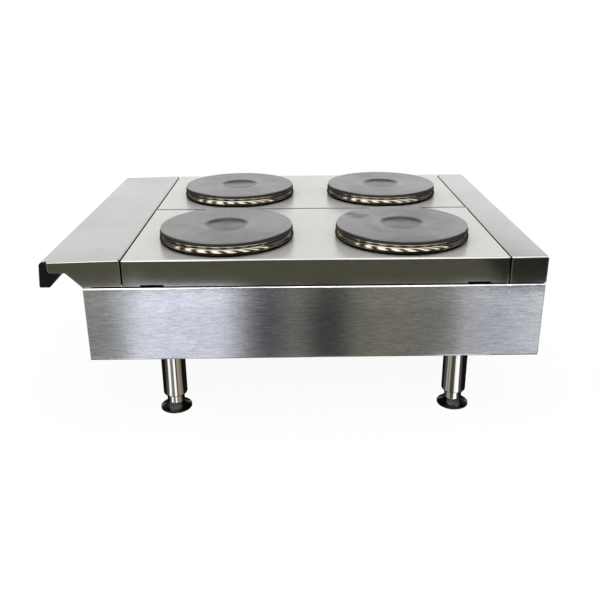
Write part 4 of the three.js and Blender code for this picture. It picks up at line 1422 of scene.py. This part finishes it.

# %% [markdown]
# ## Cable gland
# The supply lead enters through a gland in the base: a six-sided body under a flange, and a
# dome nut that grips the lead. A hexagon is a turned profile whose radius follows
# cos(30)/cos(angle from the flat's middle).

# %% Cable gland
gland_low, gland_high = span("cable_gland")
gland_axis = middle("cable_gland") * np.array([1.0, 1.0, 0.0])
GLAND_BORE = 6.0 * MM
HEX_RADIUS = 16.0 * MM


def hexed(profile, is_hex, centre, segments=96):
    """Turned rings whose radius is bent to a hexagon where is_hex is true."""
    angle = np.linspace(0.0, 2 * math.pi, segments, endpoint=False)
    flat = np.cos(math.pi / 6) / np.cos((angle % (math.pi / 3)) - math.pi / 6)
    radius = np.where(np.asarray(is_hex)[:, None], profile[:, :1] * flat, profile[:, :1] * np.ones_like(flat))
    rings = np.stack([radius * np.cos(angle), radius * np.sin(angle),
                      np.broadcast_to(profile[:, 1:], radius.shape)], axis=-1)
    return loft(rings + centre, closed=True)


flange_z = CABINET_BOTTOM + SHEET
gland_profile = np.array([
    (GLAND_BORE, gland_low[2] + 1 * MM), (GLAND_BORE + 1 * MM, gland_low[2]),
    (GLAND_BORE + 4 * MM, gland_low[2] + 0.3 * MM), (GLAND_BORE + 6 * MM, gland_low[2] + 4 * MM),
    (12.4 * MM, gland_low[2] + 7 * MM), (13.0 * MM, gland_low[2] + 7.5 * MM),
    (13.0 * MM, flange_z - 6 * MM), (HEX_RADIUS, flange_z - 5.5 * MM), (HEX_RADIUS, flange_z - 0.6 * MM),
    (HEX_RADIUS - 0.5 * MM, flange_z), (12.0 * MM, flange_z), (12.0 * MM, gland_high[2]),
    (GLAND_BORE, gland_high[2]),
])
gland_hex = [False] * 6 + [False, True, True, True, False, False, False]
make_piece("supply_gland", hexed(gland_profile, gland_hex, gland_axis), black_plastic, "black_plastic",
           replaces=["cable_gland"], sharp=30.0)
print("gland", np.round(gland_high - gland_low, 4))

# %% [markdown]
# ## CAD nodes that stay
# The pieces that are flat plates, blocks and brackets already have their real shape, so they stay
# as they are and only get a finish.

# %% Finishes for the nodes that stay
KEPT = {
    steel_front: ["rear_panel"],
    zinc: ["base_panel", "centre_rail", "heat_shield_right", "heat_shield_left",
           *[f"clamp_bar_{corner}" for corner in CORNERS],
           *[f"leg_plate_{corner}" for corner in CORNERS],
           *[f"switch_shaft_{number}" for number in range(1, 5)]],
    ceramic: ["mains_terminal_block",
              *[f"plate_terminal_{corner}" for corner in CORNERS],
              *[f"heat_switch_{number}" for number in range(1, 5)]],
}
for material, names in KEPT.items():
    for name in names:
        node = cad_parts[name]
        node.data.materials.clear()
        node.data.materials.append(material)
print("kept nodes", sum(len(names) for names in KEPT.values()))

# %% [markdown]
# ## Stage
# The hot plate stands on a plain white floor under a white sky. Polished metal shows whatever is
# round it, so the metal is given more to see than the eye is. In reflections the floor turns into
# a dim studio floor with broad soft bands of light fanning out across it, and a ring of narrow
# soft lamps stands round the near side. Near each leg the floor is dark with bright spokes, which
# a round leg shows as upright streaks.

# %% What shiny metal sees on the floor
FAN_CENTRE = 0.72
BANDS = [
    (0.06, (0.36, 0.36, 0.33)), (0.085, (0.04, 0.04, 0.035)), (0.13, (0.04, 0.04, 0.035)),
    (0.165, (0.31, 0.31, 0.285)), (0.205, (0.29, 0.295, 0.28)),
    (0.228, (0.42, 0.43, 0.43)),
    (0.255, (0.90, 0.93, 1.02)), (0.300, (0.94, 0.97, 1.10)), (0.335, (0.86, 0.90, 1.02)),
    (0.385, (0.84, 0.86, 0.96)), (0.405, (0.60, 0.60, 0.65)), (0.432, (0.20, 0.20, 0.215)),
    (0.458, (0.085, 0.088, 0.10)), (0.478, (0.13, 0.13, 0.13)), (0.500, (0.185, 0.182, 0.165)),
    (0.520, (0.12, 0.12, 0.11)), (0.538, (0.055, 0.055, 0.055)), (0.565, (0.055, 0.055, 0.055)),
    (0.598, (0.18, 0.178, 0.145)), (0.640, (0.22, 0.205, 0.165)), (0.715, (0.205, 0.205, 0.185)),
    (0.742, (0.26, 0.265, 0.25)), (0.768, (0.50, 0.505, 0.53)), (0.815, (0.53, 0.55, 0.60)),
    (0.860, (0.65, 0.66, 0.71)), (0.895, (0.80, 0.82, 0.88)), (0.925, (0.05, 0.05, 0.05)),
    (0.955, (0.05, 0.05, 0.05)), (0.985, (0.38, 0.38, 0.36)),
]
DIM_FLOOR = (0.125, 0.122, 0.094)
DARK_CORNER = (0.03, 0.032, 0.027)
FRONT_FLOOR = (0.42, 0.42, 0.40)
FLOOR_SHADOW = 0.06
FLOOR_REACH = 30.0
FRONT_LEG_SPOKES = [
    (0.00, 0.005), (0.28, 0.005), (0.30, 0.07), (0.37, 0.10), (0.385, 1.2), (0.425, 1.3), (0.445, 0.25),
    (0.505, 0.2), (0.515, 1.4), (0.55, 1.3), (0.565, 0.05), (0.585, 0.06), (0.60, (0.40, 0.36, 0.28)),
    (0.70, (0.22, 0.2, 0.16)), (0.73, 0.005), (1.0, 0.005),
]
BACK_LEG_SPOKES = [
    (0.00, 0.005), (0.18, 0.005), (0.20, 0.07), (0.27, 0.09), (0.29, (0.55, 0.50, 0.40)), (0.33, 0.2),
    (0.365, (0.55, 0.50, 0.40)), (0.39, 0.06), (0.475, 0.09), (0.49, 1.1), (0.575, 1.5), (0.595, 0.1),
    (0.65, 0.08), (0.67, 0.005), (1.0, 0.005),
]


print("bands", len(BANDS), "spokes", len(FRONT_LEG_SPOKES), len(BACK_LEG_SPOKES))

# %% Light that fans out from a leg


def spokes(tree, x, y, leg, stops):
    """Light that depends only on the direction from a leg: a ramp on its angle, 0.5 being outwards."""
    angle = math_node(tree, "ARCTAN2", math_node(tree, "SUBTRACT", y, float(leg[1])),
                      math_node(tree, "SUBTRACT", x, float(leg[0])))
    turn = math_node(tree, "MULTIPLY_ADD", angle, 1 / (2 * math.pi))
    turn.node.inputs[2].default_value = 0.5
    return ramp(tree, turn, stops).outputs["Color"]


print("ready:", spokes.__name__)

# %% Floor


def build_floor():
    """A wide floor: almost plain white to the eye, dim with bands and spokes to shiny metal."""
    mesh = bpy.data.meshes.new("floor")
    size = FLOOR_REACH
    corners = [(-size, -size, 0), (size, -size, 0), (size, size, 0), (-size, size, 0)]
    mesh.from_pydata(corners, [], [(0, 1, 2, 3)])
    floor = bpy.data.objects.new("floor", mesh)
    scene.collection.objects.link(floor)
    material = bpy.data.materials.new("floor")
    material.use_nodes = True
    floor.data.materials.append(material)
    tree = material.node_tree
    tree.nodes.clear()
    coords = add_node(tree, "ShaderNodeTexCoord").outputs["Object"]
    parts = add_node(tree, "ShaderNodeSeparateXYZ", links={"Vector": coords}).outputs
    x, y = math_node(tree, "ABSOLUTE", parts["X"]), parts["Y"]

    fan = math_node(tree, "DIVIDE", y, math_node(tree, "ADD", x, FAN_CENTRE))
    bands = ramp(tree, math_node(tree, "ADD", fan, 0.5), BANDS).outputs["Color"]
    far = mix_colour(tree, between(tree, y, 0.50, 0.55), DIM_FLOOR, DARK_CORNER)
    boost = remap(tree, between(tree, x, 0.74, 0.86), 1.0, 1.35)
    lifted = add_node(tree, "ShaderNodeVectorMath", operation="MULTIPLY",
                      links={0: bands, 1: boost}).outputs[0]
    nearer = math_node(tree, "MULTIPLY", between(tree, y, 0.47, 0.52), 0.04)
    outer = mix_colour(tree, between(tree, math_node(tree, "ADD", x, nearer), 0.905, 0.925), lifted, far)
    front_leg, back_leg = middle("leg_front_right"), middle("leg_back_right")
    front = spokes(tree, x, y, front_leg, FRONT_LEG_SPOKES)
    back = spokes(tree, x, y, back_leg, BACK_LEG_SPOKES)
    halfway = (front_leg[1] + back_leg[1]) / 2
    near_legs = mix_colour(tree, between(tree, y, halfway - 0.01, halfway + 0.01), front, back)
    split = mix_colour(tree, between(tree, x, 0.48, 0.51), near_legs, outer)
    ends = math_node(tree, "ADD", between(tree, y, -0.53, -0.56), between(tree, y, 0.62, 0.66))
    close = math_node(tree, "MULTIPLY", ends, between(tree, x, 0.90, 0.86))
    seen = mix_colour(tree, close, split, FRONT_FLOOR)

    white = add_node(tree, "ShaderNodeEmission", {"Color": (1.0, 1.0, 1.0, 1.0), "Strength": 1.0})
    matt = add_node(tree, "ShaderNodeBsdfDiffuse", {"Color": (1.0, 1.0, 1.0, 1.0)})
    plain = add_node(tree, "ShaderNodeMixShader", {0: FLOOR_SHADOW},
                     {1: white.outputs[0], 2: matt.outputs[0]})
    glow = add_node(tree, "ShaderNodeEmission", links={"Color": seen})
    path = add_node(tree, "ShaderNodeLightPath")
    choose = add_node(tree, "ShaderNodeMixShader",
                      links={0: path.outputs["Is Glossy Ray"], 1: plain.outputs[0], 2: glow.outputs[0]})
    behind = add_node(tree, "ShaderNodeNewGeometry").outputs["Backfacing"]
    clear = add_node(tree, "ShaderNodeBsdfTransparent")
    from_below = add_node(tree, "ShaderNodeMixShader",
                          links={0: behind, 1: choose.outputs[0], 2: clear.outputs[0]})
    add_node(tree, "ShaderNodeOutputMaterial", links={"Surface": from_below.outputs[0]})
    return floor


build_floor()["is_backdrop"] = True
print("floor bands", len(BANDS))

# %% Sky and lamps
FAR_SKY = [
    (0.0, 0.3), (0.49, 0.35), (0.51, 0.85), (0.54, 1.1), (0.64, 1.12), (0.70, 1.03), (0.75, 0.25),
    (0.85, 0.12), (1.0, 0.3),
]
LAMP_TURNS = [(-86, 5), (-61, 5), (-36, 7), (-11, 6), (13, 6), (37, 4), (56, 2.5), (74, 2.5)]
LAMP_LIGHT, LAMP_GAP = 3.8, 0.12
SIDE_LIGHT = 0.3


def build_sky():
    """White to the eye and to matt surfaces, and a gradient with a ring of lamps to shiny ones."""
    world = bpy.data.worlds.new("sky")
    scene.world = world
    world.use_nodes = True
    tree = world.node_tree
    tree.nodes.clear()
    coords = add_node(tree, "ShaderNodeTexCoord").outputs["Generated"]
    parts = add_node(tree, "ShaderNodeSeparateXYZ", links={"Vector": coords}).outputs
    height = math_node(tree, "MULTIPLY_ADD", parts["Z"], 0.5)
    height.node.inputs[2].default_value = 0.5
    far = ramp(tree, height, FAR_SKY).outputs["Color"]

    angle = math_node(tree, "ARCTAN2", parts["Y"], parts["X"])
    leaning = math_node(tree, "ADD", angle, math_node(tree, "MULTIPLY", parts["Z"], 0.25))
    turn = math_node(tree, "MULTIPLY_ADD", leaning, 1 / (2 * math.pi))
    turn.node.inputs[2].default_value = 0.5
    stops = []
    for middle_turn, half in LAMP_TURNS:
        start, end = (0.5 + (middle_turn - half) / 360, 0.5 + (middle_turn + half) / 360)
        stops += [(start - 0.006, LAMP_GAP), (start + 0.004, LAMP_LIGHT),
                  (end - 0.004, LAMP_LIGHT), (end + 0.006, LAMP_GAP)]
    lamps = ramp(tree, turn, stops).outputs["Color"]
    high = mix_colour(tree, between(tree, parts["Z"], 0.93, 0.97), (2.6, 2.6, 2.6), (0.3, 0.3, 0.3))
    near = mix_colour(tree, between(tree, parts["Z"], 0.66, 0.78), lamps, high)
    beside = mix_colour(tree, between(tree, parts["Z"], 0.75, 0.95), (SIDE_LIGHT,) * 3, (0.8, 0.8, 0.8))
    away = mix_colour(tree, between(tree, parts["X"], -0.75, -0.6), far, beside)
    gradient = mix_colour(tree, between(tree, parts["X"], -0.05, 0.05), away, near)

    path = add_node(tree, "ShaderNodeLightPath")
    colour = mix_colour(tree, path.outputs["Is Glossy Ray"], (1.0, 1.0, 1.0), gradient)
    shine = add_node(tree, "ShaderNodeBackground", {"Strength": 1.0}, {"Color": colour})
    add_node(tree, "ShaderNodeOutputWorld", links={"Surface": shine.outputs[0]})


print("sky lamps", len(LAMP_TURNS))

# %% Overhead light


def soft_lamp(name, place, target, size, watts):
    """A square area light aimed at a point."""
    data = bpy.data.lights.new(name, "AREA")
    data.shape = "RECTANGLE"
    data.size, data.size_y = size
    data.energy = watts
    lamp = bpy.data.objects.new(name, data)
    direction = Vector(target) - Vector(place)
    lamp.matrix_world = Matrix.Translation(place) @ direction.to_track_quat("-Z", "Y").to_matrix().to_4x4()
    scene.collection.objects.link(lamp)
    return lamp


build_sky()
soft_lamp("overhead", (0.3, -0.2, 2.2), (0.0, 0.0, 0.2), (1.6, 1.6), 8.0)
print("lights ready")

# %% Finish
low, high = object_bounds()
print("visual", [round(v, 4) for v in low], [round(v, 4) for v in high])
